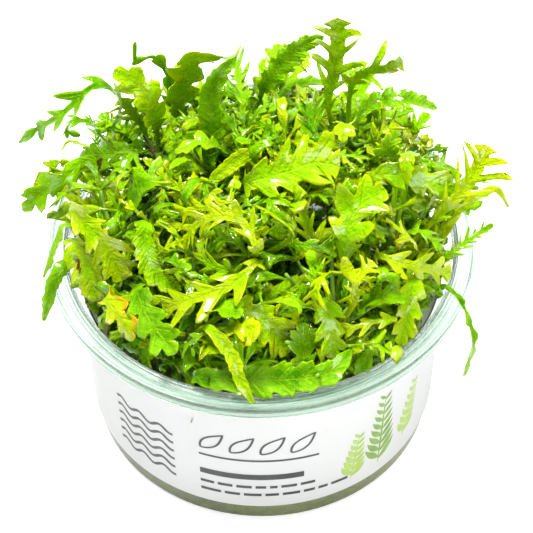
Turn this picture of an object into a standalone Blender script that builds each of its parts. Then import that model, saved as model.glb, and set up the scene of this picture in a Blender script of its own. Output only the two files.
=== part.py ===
"""A clear cup of tissue-cultured water plants: cup, label, gel, plantlets and their leaves."""
import math
import random
from collections import namedtuple

import bmesh
import bpy
from mathutils import Matrix, Vector
from mathutils.bvhtree import BVHTree

MM = 0.001

# Cup, in millimetres
RIM_RADIUS = 50.0
MOUTH_RADIUS = 44.8
BASE_RADIUS = 40.4
WALL_RADIUS_AT_SHOULDER = 42.6
SHOULDER_HEIGHT = 47.5
SHOULDER_RISE = 3.0
CUP_HEIGHT = 55.0
WALL = 0.8
FLOOR = 1.0
BASE_FILLET = 2.6
FILLET_STEPS = 4
SKIRT_DEPTH = 2.2
LIP_RISE = 0.7
LIP_WIDTH = 1.8
LIP_BEVEL = 0.4
ROUND_STEPS = 36

# Label, in millimetres and degrees
LABEL_LOW = 7.2
LABEL_HIGH = 46.6
LABEL_THICKNESS = 0.3
LABEL_GAP_ANGLE = 26.0
LABEL_STEPS = 38

# Gel, in millimetres
GEL_TOP = 12.0
GEL_CORNER = 1.2
POCKET_FLOOR = 3.6
POCKET_SIDES = 8

CLEARANCE = 0.3

# Stems, in millimetres
STEM_FOOT = 4.0
STEM_BEND = 1.4
STEM_GAP = 0.4
STEM_RADIUS_LOW = 1.4
STEM_RADIUS_HIGH = 1.0
STEM_SIDES = 6
STEM_ROWS = 6

# Leaves, in millimetres
PETIOLE_HALF_WIDTH = 0.65
PETIOLE_HALF_THICKNESS = 0.5
BLADE_HALF_THICKNESS = 0.36
TIP_HALF_WIDTH = 0.3
TIP_HALF_THICKNESS = 0.12
FOLD = 22.0
SPINE_SAMPLES = 60
SPAN_STEPS = 16
LOBE_CREST = 0.6
PETIOLE_SHARE = 0.8
LONGEST_PETIOLE = 0.55

# A leaf that would touch another is moved along this line, up and to the front, and turned on its stem
LIFT_LINE = Vector((0.0, -0.64, 0.77))
LIFTS = (0.0, 1.5, -1.5, 3.0, -3.0, 4.5, -4.5, 6.0)
TURNS = (0.0, 35.0, -35.0, 70.0, -70.0)
DROPS = (0.0, -3.0, 2.0, -6.0, -10.0)

# Small leaves that stay part of their plantlet
SMALL_LEAVES_PER_PLANTLET = 7
SMALL_LEAF_TRIES = 120
SMALL_LEAF_WIDTH = 10.0
STEEPEST = 1.3
SMALL_LEAF_LOBES = 3
SMALL_LEAF_FORMS = ("oak", "oak", "comb", "fingers")
SMALL_PETIOLE = 0.2
SEED = 12

# The mound that the leaves make above the cup, in millimetres
MOUND_RADIUS = 54.0
MOUND_REACH = 53.0
MOUND_FRONT_REACH = 43.0
MOUND_RIM_HEIGHT = 58.0
MOUND_RISE = 25.0
MOUND_BACK_RISE = 0.2

# Each plantlet: foot x and y, top x, y and z, in millimetres
Stem = namedtuple("Stem", "name foot top")
STEMS = (
    Stem("plantlet_back_left", (-20, 14), (-25, 21, 64)),
    Stem("plantlet_back_middle", (-2, 13), (-4, 11, 73)),
    Stem("plantlet_back_right", (18, 14), (21, 19, 70)),
    Stem("plantlet_left", (-28, -6), (-34, -4, 64)),
    Stem("plantlet_middle", (-3, -6), (-5, -8, 72)),
    Stem("plantlet_right", (25, -6), (30, -6, 66)),
    Stem("plantlet_front_left", (-14, -24), (-16, -28, 59)),
    Stem("plantlet_front_right", (13, -24), (17, -27, 60)),
    Stem("plantlet_back", (-2, 31), (-2, 34, 66)),
)
(BACK_LEFT, BACK_MIDDLE, BACK_RIGHT, LEFT, MIDDLE, RIGHT, FRONT_LEFT, FRONT_RIGHT, BACK) = range(9)

# Each form: lobes on a side, notch width over lobe width, forward lean, widest place, tip width
Form = namedtuple("Form", "lobes notch lean widest tip")
FORMS = {
    "comb": Form(5, 0.38, 0.8, 0.45, 0.25),
    "oak": Form(4, 0.58, 0.5, 0.55, 0.45),
    "fingers": Form(3, 0.30, 0.9, 0.60, 0.50),
    "toothed": Form(5, 0.80, 0.5, 0.45, 0.30),
    "blade": Form(3, 0.90, 0.3, 0.50, 0.30),
    "strap": Form(3, 0.92, 0.2, 0.40, 0.25),
    "spoon": Form(3, 1.00, 0.0, 0.75, 0.80),
    "tendril": Form(4, 0.55, 0.9, 0.30, 0.30),
}

UP = (0, 0, 1)
FRONT_UP = (0, -0.6, 0.8)
FRONT = (0, -0.8, 0.5)
LEFT_OUT = (-0.8, -0.4, 0.4)

# Each leaf: its stem, where on the stem it grows, the points it passes from blade foot to tip,
# the blade's width, its form and the way its upper face looks at the middle
Leaf = namedtuple("Leaf", "name stem height points width form facing")
LEAVES = (
    Leaf("leaf_left_arch", BACK_LEFT, 56,
         ((-34, 20, 69), (-32, 21, 80), (-37, 20, 87), (-45, 16, 82), (-51, 17, 76), (-56, 18, 70)),
         5, "comb", UP),
    Leaf("leaf_left_curl", BACK_LEFT, 51,
         ((-37, 23, 66), (-39, 21, 73), (-43, 20, 75), (-45, 21, 71), (-42, 23, 67)),
         5, "comb", UP),
    Leaf("leaf_back_left_lobed", BACK_LEFT, 62,
         ((-24, 20, 72), (-25, 18, 82), (-28, 19, 88), (-33, 20, 92)), 9, "oak", (0.3, -0.7, 0.6)),
    Leaf("leaf_back_left_broad", BACK_LEFT, 58,
         ((-27, 23, 68), (-29, 22, 75), (-32, 21, 82)), 8, "oak", FRONT),
    Leaf("leaf_back_tendril", BACK, 50,
         ((-19, 27, 70), (-21, 26, 84), (-24, 26, 90), (-28, 23, 92), (-28, 22, 99)),
         4, "tendril", FRONT),
    Leaf("leaf_back_tall_broad", BACK, 56,
         ((-18, 25, 72), (-17, 24, 86), (-14, 22, 94), (-8, 21, 95)), 10, "blade", FRONT),
    Leaf("leaf_tall_strap", BACK_MIDDLE, 50,
         ((-12, 10, 66), (-11, 13, 76), (-11, 16, 87), (-9, 17, 93), (-5, 19, 97)),
         6, "toothed", (0, -0.9, 0.3)),
    Leaf("leaf_spoon", MIDDLE, 66,
         ((-11, -2, 76), (-7, 1, 80), (-2, 3, 83)), 4, "spoon", FRONT_UP),
    Leaf("leaf_left_scalloped", BACK_LEFT, 55,
         ((-28, 19, 66), (-34, 16, 68), (-41, 18, 66)), 8, "oak", FRONT_UP),
    Leaf("leaf_left_lower", LEFT, 60,
         ((-39, 11, 70), (-45, 7, 70), (-50, 6, 67), (-55, 4, 62)), 6, "comb", FRONT_UP),
    Leaf("leaf_left_broad", LEFT, 62,
         ((-43, -7, 74), (-37, -12, 72), (-31, -17, 62)), 11, "blade", (-0.2, -0.5, 0.8)),
    Leaf("leaf_left_blotched", LEFT, 58,
         ((-42, -9, 67), (-40, -14, 64), (-37, -19, 57)), 9, "blade", (-0.5, -0.5, 0.7)),
    Leaf("leaf_left_hanging_short", LEFT, 53,
         ((-44, -4, 66), (-47, -7, 64), (-50, -12, 57)), 4, "strap", LEFT_OUT),
    Leaf("leaf_left_hanging_long", LEFT, 45,
         ((-42, -10, 60), (-47, -15, 60), (-50, -20, 51)), 4, "strap", LEFT_OUT),
    Leaf("leaf_long_pointed", FRONT_LEFT, 57,
         ((-12, -37, 69), (-7, -42, 66), (-5, -46, 62), (-2, -49, 57)), 4, "strap", (0.2, -0.6, 0.7)),
    Leaf("leaf_front_dark", FRONT_LEFT, 44,
         ((-15, -41, 57), (-5, -43, 58), (6, -43, 58), (15, -42, 59), (20, -38, 62)),
         9, "toothed", FRONT_UP),
    Leaf("leaf_yellow_edge", FRONT_LEFT, 50,
         ((-34, -20, 59), (-31, -27, 60), (-29, -30, 56)), 7, "oak", FRONT_UP),
    Leaf("leaf_front_left_thin", FRONT_LEFT, 53,
         ((-27, -31, 64), (-22, -34, 65), (-17, -34, 63)), 3, "comb", FRONT_UP),
    Leaf("leaf_front_left_broad", LEFT, 46,
         ((-28, -19, 61), (-25, -28, 62), (-19, -36, 59)), 10, "oak", FRONT_UP),
    Leaf("leaf_spiky", MIDDLE, 58,
         ((-1, -23, 75), (-7, -29, 74), (-15, -31, 72), (-22, -30, 67)), 11, "fingers", FRONT_UP),
    Leaf("leaf_rolled_left", LEFT, 63,
         ((-27, -12, 76), (-26, -17, 73), (-24, -21, 69), (-18, -24, 66)),
         7, "toothed", (0.3, -0.5, 0.8)),
    Leaf("leaf_strap_under", LEFT, 47,
         ((-27, -17, 62), (-22, -23, 60), (-17, -28, 58)), 4, "strap", FRONT_UP),
    Leaf("leaf_bright_arc", MIDDLE, 67,
         ((-11, -11, 84), (-6, -16, 82), (-2, -18, 79), (2, -16, 78)), 5, "comb", FRONT_UP),
    Leaf("leaf_curly_wide", MIDDLE, 61,
         ((-1, -21, 76), (-4, -16, 80), (-10, -15, 81), (-15, -15, 77), (-17, -17, 72)),
         6, "comb", FRONT_UP),
    Leaf("leaf_curly_inner", MIDDLE, 55,
         ((-6, -23, 71), (-12, -22, 74), (-13, -18, 77), (-8, -15, 77)), 6, "comb", FRONT_UP),
    Leaf("leaf_top_strap", BACK, 61,
         ((1, 27, 78), (6, 28, 86), (10, 29, 90), (15, 30, 92)), 5, "toothed", FRONT),
    Leaf("leaf_fan", BACK_RIGHT, 60,
         ((16, 23, 76), (17, 25, 84), (18, 27, 92), (18, 29, 99)), 13, "fingers", FRONT),
    Leaf("leaf_fan_side", BACK_RIGHT, 64,
         ((21, 24, 80), (24, 24, 86), (29, 24, 88), (33, 25, 89)), 9, "fingers", FRONT),
    Leaf("leaf_right_arch", BACK_RIGHT, 66,
         ((23, 18, 77), (27, 18, 82), (34, 19, 82), (41, 20, 78)), 5, "toothed", (0, -0.2, 1)),
    Leaf("leaf_right_small", RIGHT, 64,
         ((31, 4, 76), (29, 4, 82), (31, 6, 86)), 7, "oak", FRONT),
    Leaf("leaf_right_drooping", RIGHT, 65,
         ((34, 2, 78), (34, 2, 83), (33, -2, 85), (33, -6, 81)), 5, "strap", FRONT_UP),
    Leaf("leaf_oak", BACK_MIDDLE, 66,
         ((-3, -3, 79), (5, -4, 83), (12, -2, 84), (18, -2, 83)), 15, "oak", FRONT_UP),
    Leaf("leaf_right_horizontal", RIGHT, 62,
         ((25, -2, 78), (34, -2, 79), (45, -2, 74)), 9, "oak", FRONT_UP),
    Leaf("leaf_right_fingers", RIGHT, 58,
         ((41, -5, 70), (46, -3, 76), (49, 0, 80), (51, 3, 84)), 12, "fingers", FRONT),
    Leaf("leaf_right_tail", RIGHT, 54,
         ((46, -2, 68), (51, 0, 71), (54, 1, 71), (57, 0, 66)), 3, "strap", FRONT_UP),
    Leaf("leaf_right_lobed", FRONT_RIGHT, 58,
         ((19, -19, 75), (21, -14, 81), (28, -10, 84)), 12, "oak", FRONT_UP),
    Leaf("leaf_right_wisp", RIGHT, 49,
         ((42, -12, 63), (47, -10, 66), (53, -6, 67)), 5, "comb", FRONT_UP),
    Leaf("leaf_yellow_upper", RIGHT, 60,
         ((35, -15, 70), (32, -16, 76), (28, -14, 79)), 8, "fingers", FRONT_UP),
    Leaf("leaf_yellow_broad", RIGHT, 56,
         ((26, -19, 72), (33, -21, 71), (43, -17, 63)), 10, "fingers", FRONT_UP),
    Leaf("leaf_right_trailing", RIGHT, 45,
         ((40, -18, 60), (44, -21, 60), (47, -25, 56), (48, -28, 50), (46, -31, 43)),
         3, "strap", (0.6, -0.5, 0.6)),
    Leaf("leaf_star_left", MIDDLE, 67,
         ((7, -22, 82), (3, -19, 86), (-1, -17, 87)), 4, "comb", FRONT_UP),
    Leaf("leaf_star_right", MIDDLE, 63,
         ((8, -19, 76), (13, -20, 76), (19, -14, 73)), 7, "fingers", FRONT_UP),
    Leaf("leaf_yellow_star", FRONT_RIGHT, 57,
         ((21, -31, 71), (21, -30, 76), (25, -26, 78)), 8, "fingers", FRONT_UP),
    Leaf("leaf_front_mid", FRONT_RIGHT, 55,
         ((14, -29, 69), (15, -34, 66), (16, -38, 59)), 9, "oak", FRONT_UP),
    Leaf("leaf_front_apex", FRONT_RIGHT, 47,
         ((10, -40, 58), (9, -38, 63), (9, -35, 68)), 9, "oak", FRONT),
    Leaf("leaf_front_glossy", FRONT_LEFT, 55,
         ((-6, -33, 70), (0, -35, 69), (6, -38, 61)), 12, "oak", FRONT_UP),
    Leaf("leaf_right_front", RIGHT, 56,
         ((34, -19, 67), (33, -27, 63), (31, -33, 57)), 8, "blade", (0.2, -0.6, 0.8)),
    Leaf("leaf_front_fingers", FRONT_RIGHT, 53,
         ((30, -31, 64), (23, -33, 65), (16, -34, 62)), 6, "fingers", FRONT_UP),
)


def clear_scene():
    """Remove every object that the file opened with."""
    for item in list(bpy.data.objects):
        bpy.data.objects.remove(item, do_unlink=True)


def material(name, colour, roughness, transmission=0.0):
    """Make a Principled material with the part's own colour."""
    made = bpy.data.materials.new(name)
    made.use_nodes = True
    shader = made.node_tree.nodes["Principled BSDF"]
    shader.inputs["Base Color"].default_value = (*colour, 1.0)
    shader.inputs["Roughness"].default_value = roughness
    shader.inputs["Metallic"].default_value = 0.0
    shader.inputs["Transmission Weight"].default_value = transmission
    return made


def add_object(name, mesh_data, finish, smooth_angle=None):
    """Put a finished bmesh in the scene as a named object, in metres."""
    bmesh.ops.scale(mesh_data, vec=(MM, MM, MM), verts=mesh_data.verts)
    mesh = bpy.data.meshes.new(name)
    mesh_data.to_mesh(mesh)
    mesh_data.free()
    mesh.materials.append(finish)
    if smooth_angle is not None:
        mesh.shade_smooth()
        mesh.set_sharp_from_angle(angle=math.radians(smooth_angle))
    item = bpy.data.objects.new(name, mesh)
    bpy.context.scene.collection.objects.link(item)
    return item


def wall_radius(height):
    """Outer radius of the cup's wall at a height below the shoulder."""
    share = height / SHOULDER_HEIGHT
    return BASE_RADIUS + (WALL_RADIUS_AT_SHOULDER - BASE_RADIUS) * share


def cup_profile():
    """Half section of the cup, from the middle of its base, out, up, over the rim and back inside."""
    points = [(0.0, 0.0)]
    for step in range(FILLET_STEPS + 1):
        angle = math.radians(90.0 * step / FILLET_STEPS)
        points.append((BASE_RADIUS - BASE_FILLET + BASE_FILLET * math.sin(angle),
                       BASE_FILLET - BASE_FILLET * math.cos(angle)))
    flange_under = CUP_HEIGHT - WALL
    points.append((wall_radius(SHOULDER_HEIGHT), SHOULDER_HEIGHT))
    points.append((MOUTH_RADIUS + WALL, SHOULDER_HEIGHT + SHOULDER_RISE))
    points.append((MOUTH_RADIUS + WALL, flange_under))
    points.append((RIM_RADIUS - WALL, flange_under))
    points.append((RIM_RADIUS - WALL, CUP_HEIGHT - SKIRT_DEPTH))
    points.append((RIM_RADIUS, CUP_HEIGHT - SKIRT_DEPTH))
    points.append((RIM_RADIUS, CUP_HEIGHT + LIP_RISE - LIP_BEVEL))
    points.append((RIM_RADIUS - LIP_BEVEL, CUP_HEIGHT + LIP_RISE))
    points.append((RIM_RADIUS - LIP_WIDTH + LIP_RISE, CUP_HEIGHT + LIP_RISE))
    points.append((RIM_RADIUS - LIP_WIDTH, CUP_HEIGHT))
    points.append((MOUTH_RADIUS, CUP_HEIGHT))
    points.append((MOUTH_RADIUS, SHOULDER_HEIGHT + SHOULDER_RISE))
    points.append((wall_radius(SHOULDER_HEIGHT) - WALL, SHOULDER_HEIGHT))
    points.append((BASE_RADIUS - WALL, BASE_FILLET))
    points.append((BASE_RADIUS - BASE_FILLET, FLOOR))
    points.append((0.0, FLOOR))
    return points


def turned(points, steps):
    """Turn a half section, whose ends lie on the axis, into a closed round solid."""
    solid = bmesh.new()
    rings = []
    for radius, height in points:
        if radius == 0.0:
            rings.append([solid.verts.new((0.0, 0.0, height))])
            continue
        ring = []
        for step in range(steps):
            angle = 2.0 * math.pi * step / steps
            ring.append(solid.verts.new((radius * math.cos(angle), radius * math.sin(angle), height)))
        rings.append(ring)
    for low, high in zip(rings, rings[1:]):
        for step in range(steps):
            after = (step + 1) % steps
            if len(low) == 1:
                solid.faces.new((low[0], high[after], high[step]))
            elif len(high) == 1:
                solid.faces.new((low[step], low[after], high[0]))
            else:
                solid.faces.new((low[step], low[after], high[after], high[step]))
    return solid


def lofted(sections):
    """Join equal rings of points into one closed solid, with a flat cap at each end."""
    solid = bmesh.new()
    rings = [[solid.verts.new(point) for point in section] for section in sections]
    count = len(rings[0])
    for low, high in zip(rings, rings[1:]):
        for side in range(count):
            after = (side + 1) % count
            solid.faces.new((low[side], low[after], high[after], high[side]))
    solid.faces.new(list(reversed(rings[0])))
    solid.faces.new(rings[-1])
    return solid


def leaf_solid(sections):
    """Closed blade over four-cornered sections; both faces are cut along the same diagonals."""
    solid = bmesh.new()
    rings = [[solid.verts.new(point) for point in section] for section in sections]
    for low, high in zip(rings, rings[1:]):
        for side in range(4):
            after = (side + 1) % 4
            if side % 2:
                solid.faces.new((low[side], low[after], high[after]))
                solid.faces.new((low[side], high[after], high[side]))
            else:
                solid.faces.new((low[side], low[after], high[side]))
                solid.faces.new((low[after], high[after], high[side]))
    solid.faces.new(list(reversed(rings[0])))
    solid.faces.new(rings[-1])
    return solid


def make_cup(finish):
    """The clear cup with its shoulder, flange, raised lip and skirt."""
    return add_object("cup", turned(cup_profile(), ROUND_STEPS), finish, smooth_angle=30)


def make_label(finish):
    """The label band, a thin sleeve round the wall that stays open at the back."""
    half_gap = LABEL_GAP_ANGLE / 2.0
    first = 90.0 + half_gap
    span = 360.0 - LABEL_GAP_ANGLE
    sections = []
    for step in range(LABEL_STEPS + 1):
        angle = math.radians(first + span * step / LABEL_STEPS)
        section = []
        for height, out in ((LABEL_LOW, 0.0), (LABEL_HIGH, 0.0),
                            (LABEL_HIGH, LABEL_THICKNESS), (LABEL_LOW, LABEL_THICKNESS)):
            radius = wall_radius(height) + CLEARANCE + out
            section.append((radius * math.cos(angle), radius * math.sin(angle), height))
        sections.append(section)
    return add_object("label", lofted(sections), finish, smooth_angle=30)


def gel_radius(height):
    """Radius of the gel, which keeps clear of the inside of the wall."""
    return wall_radius(height) - WALL - CLEARANCE


def make_gel(finish):
    """The disc of culture gel, with a pocket for each stem."""
    floor = FLOOR + CLEARANCE
    profile = [(0.0, floor), (BASE_RADIUS - BASE_FILLET - 1.0, floor),
               (gel_radius(BASE_FILLET), BASE_FILLET + GEL_CORNER),
               (gel_radius(GEL_TOP), GEL_TOP), (0.0, GEL_TOP)]
    gel = add_object("culture_gel", turned(profile, ROUND_STEPS), finish, smooth_angle=30)
    pockets = bpy.data.collections.new("gel_pockets")
    bpy.context.scene.collection.children.link(pockets)
    for number, stem in enumerate(STEMS):
        sections = []
        for height in (POCKET_FLOOR, GEL_TOP + 1.0):
            centre = stem_point(stem, height)
            radius = (STEM_RADIUS_LOW + CLEARANCE) / math.cos(math.pi / POCKET_SIDES)
            section = []
            for side in range(POCKET_SIDES):
                angle = 2.0 * math.pi * side / POCKET_SIDES
                section.append(centre + Vector((radius * math.cos(angle), radius * math.sin(angle), 0.0)))
            sections.append(section)
        pocket = add_object(f"gel_pocket_{number + 1}", lofted(sections), finish)
        hide_as_cutter(pocket, pockets)
    cut = gel.modifiers.new("pockets", "BOOLEAN")
    cut.operation = "DIFFERENCE"
    cut.operand_type = "COLLECTION"
    cut.collection = pockets
    return gel


def hide_as_cutter(item, collection):
    """Keep an object as a tool for a Boolean modifier alone."""
    item.hide_render = True
    item.display_type = "WIRE"
    bpy.context.scene.collection.objects.unlink(item)
    collection.objects.link(item)


def stem_point(stem, height):
    """Point on a stem's axis at a height; the stem leans out more towards its top."""
    share = (height - STEM_FOOT) / (stem.top[2] - STEM_FOOT)
    bend = max(share, 0.0) ** STEM_BEND
    return Vector((stem.foot[0] + (stem.top[0] - stem.foot[0]) * bend,
                   stem.foot[1] + (stem.top[1] - stem.foot[1]) * bend, height))


def stem_radius(stem, height):
    """Radius of a stem at a height."""
    share = (height - STEM_FOOT) / (stem.top[2] - STEM_FOOT)
    return STEM_RADIUS_LOW + (STEM_RADIUS_HIGH - STEM_RADIUS_LOW) * share


def stem_solid(stem):
    """The bare stem of a plantlet as a closed tapering tube."""
    sections = []
    for row in range(STEM_ROWS):
        height = STEM_FOOT + (stem.top[2] - STEM_FOOT) * row / (STEM_ROWS - 1)
        centre = stem_point(stem, height)
        radius = stem_radius(stem, height)
        section = []
        for side in range(STEM_SIDES):
            angle = 2.0 * math.pi * side / STEM_SIDES
            section.append(centre + Vector((radius * math.cos(angle), radius * math.sin(angle), 0.0)))
        sections.append(section)
    return lofted(sections)


def smooth_path(points, samples):
    """Points spread evenly on a curve that passes smoothly through the given points."""
    ends = [points[0] * 2.0 - points[1]] + list(points) + [points[-1] * 2.0 - points[-2]]
    dense = []
    for index in range(1, len(ends) - 2):
        before, start, end, after = ends[index - 1:index + 3]
        for step in range(SPAN_STEPS):
            t = step / SPAN_STEPS
            dense.append(0.5 * (2.0 * start + (end - before) * t
                                + (2.0 * before - 5.0 * start + 4.0 * end - after) * t ** 2
                                + (3.0 * start - before - 3.0 * end + after) * t ** 3))
    dense.append(points[-1].copy())
    lengths = [0.0]
    for start, end in zip(dense, dense[1:]):
        lengths.append(lengths[-1] + (end - start).length)
    even = []
    span = 0
    for step in range(samples + 1):
        wanted = lengths[-1] * step / samples
        while span < len(dense) - 2 and lengths[span + 1] < wanted:
            span += 1
        room = lengths[span + 1] - lengths[span]
        share = (wanted - lengths[span]) / room if room > 0.0 else 0.0
        even.append(dense[span].lerp(dense[span + 1], share))
    return even, lengths[-1]


def carried_frames(path, facing):
    """Tangent, side and face directions along a path; the face starts as facing at the middle."""
    count = len(path)
    tangents = []
    for index in range(count):
        ahead = path[min(index + 1, count - 1)]
        behind = path[max(index - 1, 0)]
        tangents.append((ahead - behind).normalized())
    faces = [None] * count
    middle = count // 2
    face = Vector(facing)
    face -= tangents[middle] * face.dot(tangents[middle])
    faces[middle] = face.normalized()
    for order in (range(middle + 1, count), range(middle - 1, -1, -1)):
        face = faces[middle]
        for index in order:
            face = face - tangents[index] * face.dot(tangents[index])
            face.normalize()
            faces[index] = face
    return [(tangent, tangent.cross(face), face) for tangent, face in zip(tangents, faces)]


def envelope(place, form):
    """Share of the full width that a blade has at a place from 0, its foot, to 1, its tip."""
    if place < form.widest:
        return 0.2 + 0.8 * math.sin(0.5 * math.pi * place / form.widest)
    fall = math.cos(0.5 * math.pi * (place - form.widest) / (1.0 - form.widest))
    return form.tip + (1.0 - form.tip) * max(fall, 0.0) ** 0.8


def leaf_sections(path, blade_start, width, form, facing, swell):
    """Four-cornered sections along a leaf: left edge, upper middle, right edge, lower middle."""
    frames = carried_frames(path, facing)
    last = len(path) - 1
    length = last * (path[1] - path[0]).length
    rows = [(0.0, PETIOLE_HALF_WIDTH, PETIOLE_HALF_THICKNESS, 0.0),
            (blade_start * 0.7, PETIOLE_HALF_WIDTH, PETIOLE_HALF_THICKNESS, 0.0)]
    for lobe in range(form.lobes):
        for place, share in ((lobe / form.lobes, form.notch), ((lobe + LOBE_CREST) / form.lobes, 1.0)):
            along = blade_start + (1.0 - blade_start) * place
            half = max(0.5 * width * envelope(place, form) * share, PETIOLE_HALF_WIDTH)
            rows.append((along, half, BLADE_HALF_THICKNESS, FOLD))
    rows.append((1.0, TIP_HALF_WIDTH, TIP_HALF_THICKNESS, 0.0))
    sections = []
    for along, half, thickness, fold in rows:
        index = round(along * last)
        tangent, side, face = frames[index]
        lift = math.sin(math.radians(fold)) * half
        reach = math.cos(math.radians(fold)) * half + swell
        room = 0.7 * (1.0 - along) * length
        forward = tangent * (min(form.lean * half, room) if fold else 0.0)
        centre = path[index]
        sections.append((centre - side * reach + face * lift + forward,
                         centre + face * (thickness + swell),
                         centre + side * reach + face * lift + forward,
                         centre - face * (thickness + swell)))
    return sections


def leaf_foot(stem, height, towards, turn):
    """Where a leaf leaves its stem: just off the bark, on the side that faces the blade."""
    height = min(height, stem.top[2] - 1.0)
    axis = stem_point(stem, height)
    way = Vector((towards[0] - axis[0], towards[1] - axis[1], 0.0))
    if way.length < 1.0:
        way = Vector((stem.top[0], stem.top[1], 0.0))
    way.normalize()
    way.rotate(Matrix.Rotation(math.radians(turn), 3, "Z"))
    return axis + way * (stem_radius(stem, height) + STEM_GAP)


def leaf_path(leaf, lift, turn, drop):
    """Path of a leaf from its stem to its tip, and the share of it before the blade starts."""
    shifted = [Vector(point) + LIFT_LINE * lift for point in leaf.points]
    foot = leaf_foot(STEMS[leaf.stem], leaf.height + drop, shifted[0], turn)
    path, length = smooth_path([foot] + shifted, SPINE_SAMPLES)
    petiole = (shifted[0] - foot).length
    return path, min(PETIOLE_SHARE * petiole / length, LONGEST_PETIOLE)


def tree_of(solid):
    """Search tree of a bmesh, with its box, for the overlap tests."""
    corners = [vert.co for vert in solid.verts]
    low = Vector([min(corner[axis] for corner in corners) for axis in range(3)])
    high = Vector([max(corner[axis] for corner in corners) for axis in range(3)])
    return BVHTree.FromBMesh(solid), low, high


def touches(one, others):
    """Whether a tree meets any of the others."""
    tree, low, high = one
    for other, other_low, other_high in others:
        if any(low[axis] > other_high[axis] or other_low[axis] > high[axis] for axis in range(3)):
            continue
        if tree.overlap(other):
            return True
    return False


def crosses_itself(solid):
    """Whether faces of one leaf that share no corner meet."""
    solid.faces.ensure_lookup_table()
    tree = BVHTree.FromBMesh(solid)
    for first, second in tree.overlap(tree):
        corners = set(solid.faces[first].verts)
        if first < second and not corners.intersection(solid.faces[second].verts):
            return True
    return False


def settled(leaf, obstacles, stem_trees):
    """Sections of a leaf at the first place where it is clear of all that is already there."""
    form = FORMS[leaf.form]
    for lift in LIFTS:
        for turn in TURNS:
            for drop in DROPS:
                path, start = leaf_path(leaf, lift, turn, drop)
                sleeve = leaf_solid(leaf_sections(path, start, leaf.width, form, leaf.facing, CLEARANCE))
                others = obstacles + [tree for index, tree in enumerate(stem_trees) if index != leaf.stem]
                blocked = touches(tree_of(sleeve), others)
                sleeve.free()
                if blocked:
                    continue
                sections = leaf_sections(path, start, leaf.width, form, leaf.facing, 0.0)
                solid = leaf_solid(sections)
                blocked = touches(tree_of(solid), [stem_trees[leaf.stem]]) or crosses_itself(solid)
                solid.free()
                if not blocked:
                    return sections
    return None


def mound_height(x, y):
    """Height of the leaf mound's skin over a place on the table; it stands higher at the back."""
    fall = (x * x + y * y) / MOUND_RADIUS ** 2
    return MOUND_RIM_HEIGHT + MOUND_RISE * (1.0 - fall) + MOUND_BACK_RISE * max(y, 0.0)


def small_leaf(stem, draws, turn):
    """Points, width and form of a small leaf that reaches the mound's skin from a stem."""
    heading = 2.0 * math.pi * draws.random()
    reach = 11.0 + 19.0 * draws.random()
    depth = (6.0 + turn) * draws.random()
    sag = 2.0 + 4.0 * draws.random()
    foot_share = 0.25 + 0.6 * draws.random()
    width = SMALL_LEAF_WIDTH * (0.75 + 0.4 * draws.random()) * (1.0 - 0.06 * turn)
    form = FORMS[draws.choice(SMALL_LEAF_FORMS)]._replace(lobes=SMALL_LEAF_LOBES)
    way = Vector((math.cos(heading), math.sin(heading), 0.0))
    tip = Vector((stem.top[0], stem.top[1], 0.0)) + way * reach
    farthest = MOUND_REACH if tip.y > 0.0 else MOUND_FRONT_REACH
    if tip.length > farthest:
        tip *= farthest / tip.length
    tip.z = mound_height(tip.x, tip.y) - depth
    foot_height = min(stem.top[2] - 2.0, tip.z - foot_share * reach)
    foot = stem_point(stem, foot_height)
    middle = foot.lerp(tip, 0.55)
    middle.z += sag
    outward = Vector((tip.x - foot.x, tip.y - foot.y, 0.0))
    if tip.z - foot.z > STEEPEST * outward.length:
        return None
    return (foot + outward.normalized() * 0.2, middle, tip), width, form


def small_leaf_sections(points, width, form, swell):
    """Sections of a small leaf along its three points."""
    path, _ = smooth_path(list(points), SPINE_SAMPLES)
    return leaf_sections(path, SMALL_PETIOLE, width, form, UP, swell)


def grow_small_leaves(obstacles, stem_trees, centres):
    """Small leaves of every plantlet, each in the emptiest clear place of a few that it tries."""
    draws = random.Random(SEED)
    grown = [[] for _ in STEMS]
    for turn in range(SMALL_LEAVES_PER_PLANTLET):
        for number, stem in enumerate(STEMS):
            others = obstacles + [tree for index, tree in enumerate(stem_trees) if index != number]
            best = None
            best_room = 0.0
            for _ in range(SMALL_LEAF_TRIES):
                drawn = small_leaf(stem, draws, turn)
                if drawn is None:
                    continue
                points, width, form = drawn
                centre = points[1].lerp(points[2], 0.4)
                room = min((centre - other).length for other in centres)
                if room <= best_room:
                    continue
                sleeve = leaf_solid(small_leaf_sections(points, width, form, CLEARANCE))
                tree = tree_of(sleeve)
                crossed = crosses_itself(sleeve)
                sleeve.free()
                if not crossed and not touches(tree, others):
                    best = (points, width, form, centre, tree)
                    best_room = room
            if best is None:
                continue
            points, width, form, centre, tree = best
            obstacles.append(tree)
            centres.append(centre)
            grown[number].append(small_leaf_sections(points, width, form, 0.0))
    return grown


def make_plantlet(stem, small_leaves, finish, leaf_finish):
    """A stem with its small leaves, united in one solid."""
    plantlet = add_object(stem.name, stem_solid(stem), finish)
    tools = bpy.data.collections.new(f"{stem.name}_leaves")
    bpy.context.scene.collection.children.link(tools)
    for index, sections in enumerate(small_leaves):
        small = add_object(f"{stem.name}_small_leaf_{index + 1}", leaf_solid(sections), leaf_finish)
        hide_as_cutter(small, tools)
    unite = plantlet.modifiers.new("small_leaves", "BOOLEAN")
    unite.operation = "UNION"
    unite.operand_type = "COLLECTION"
    unite.collection = tools
    return plantlet


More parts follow.
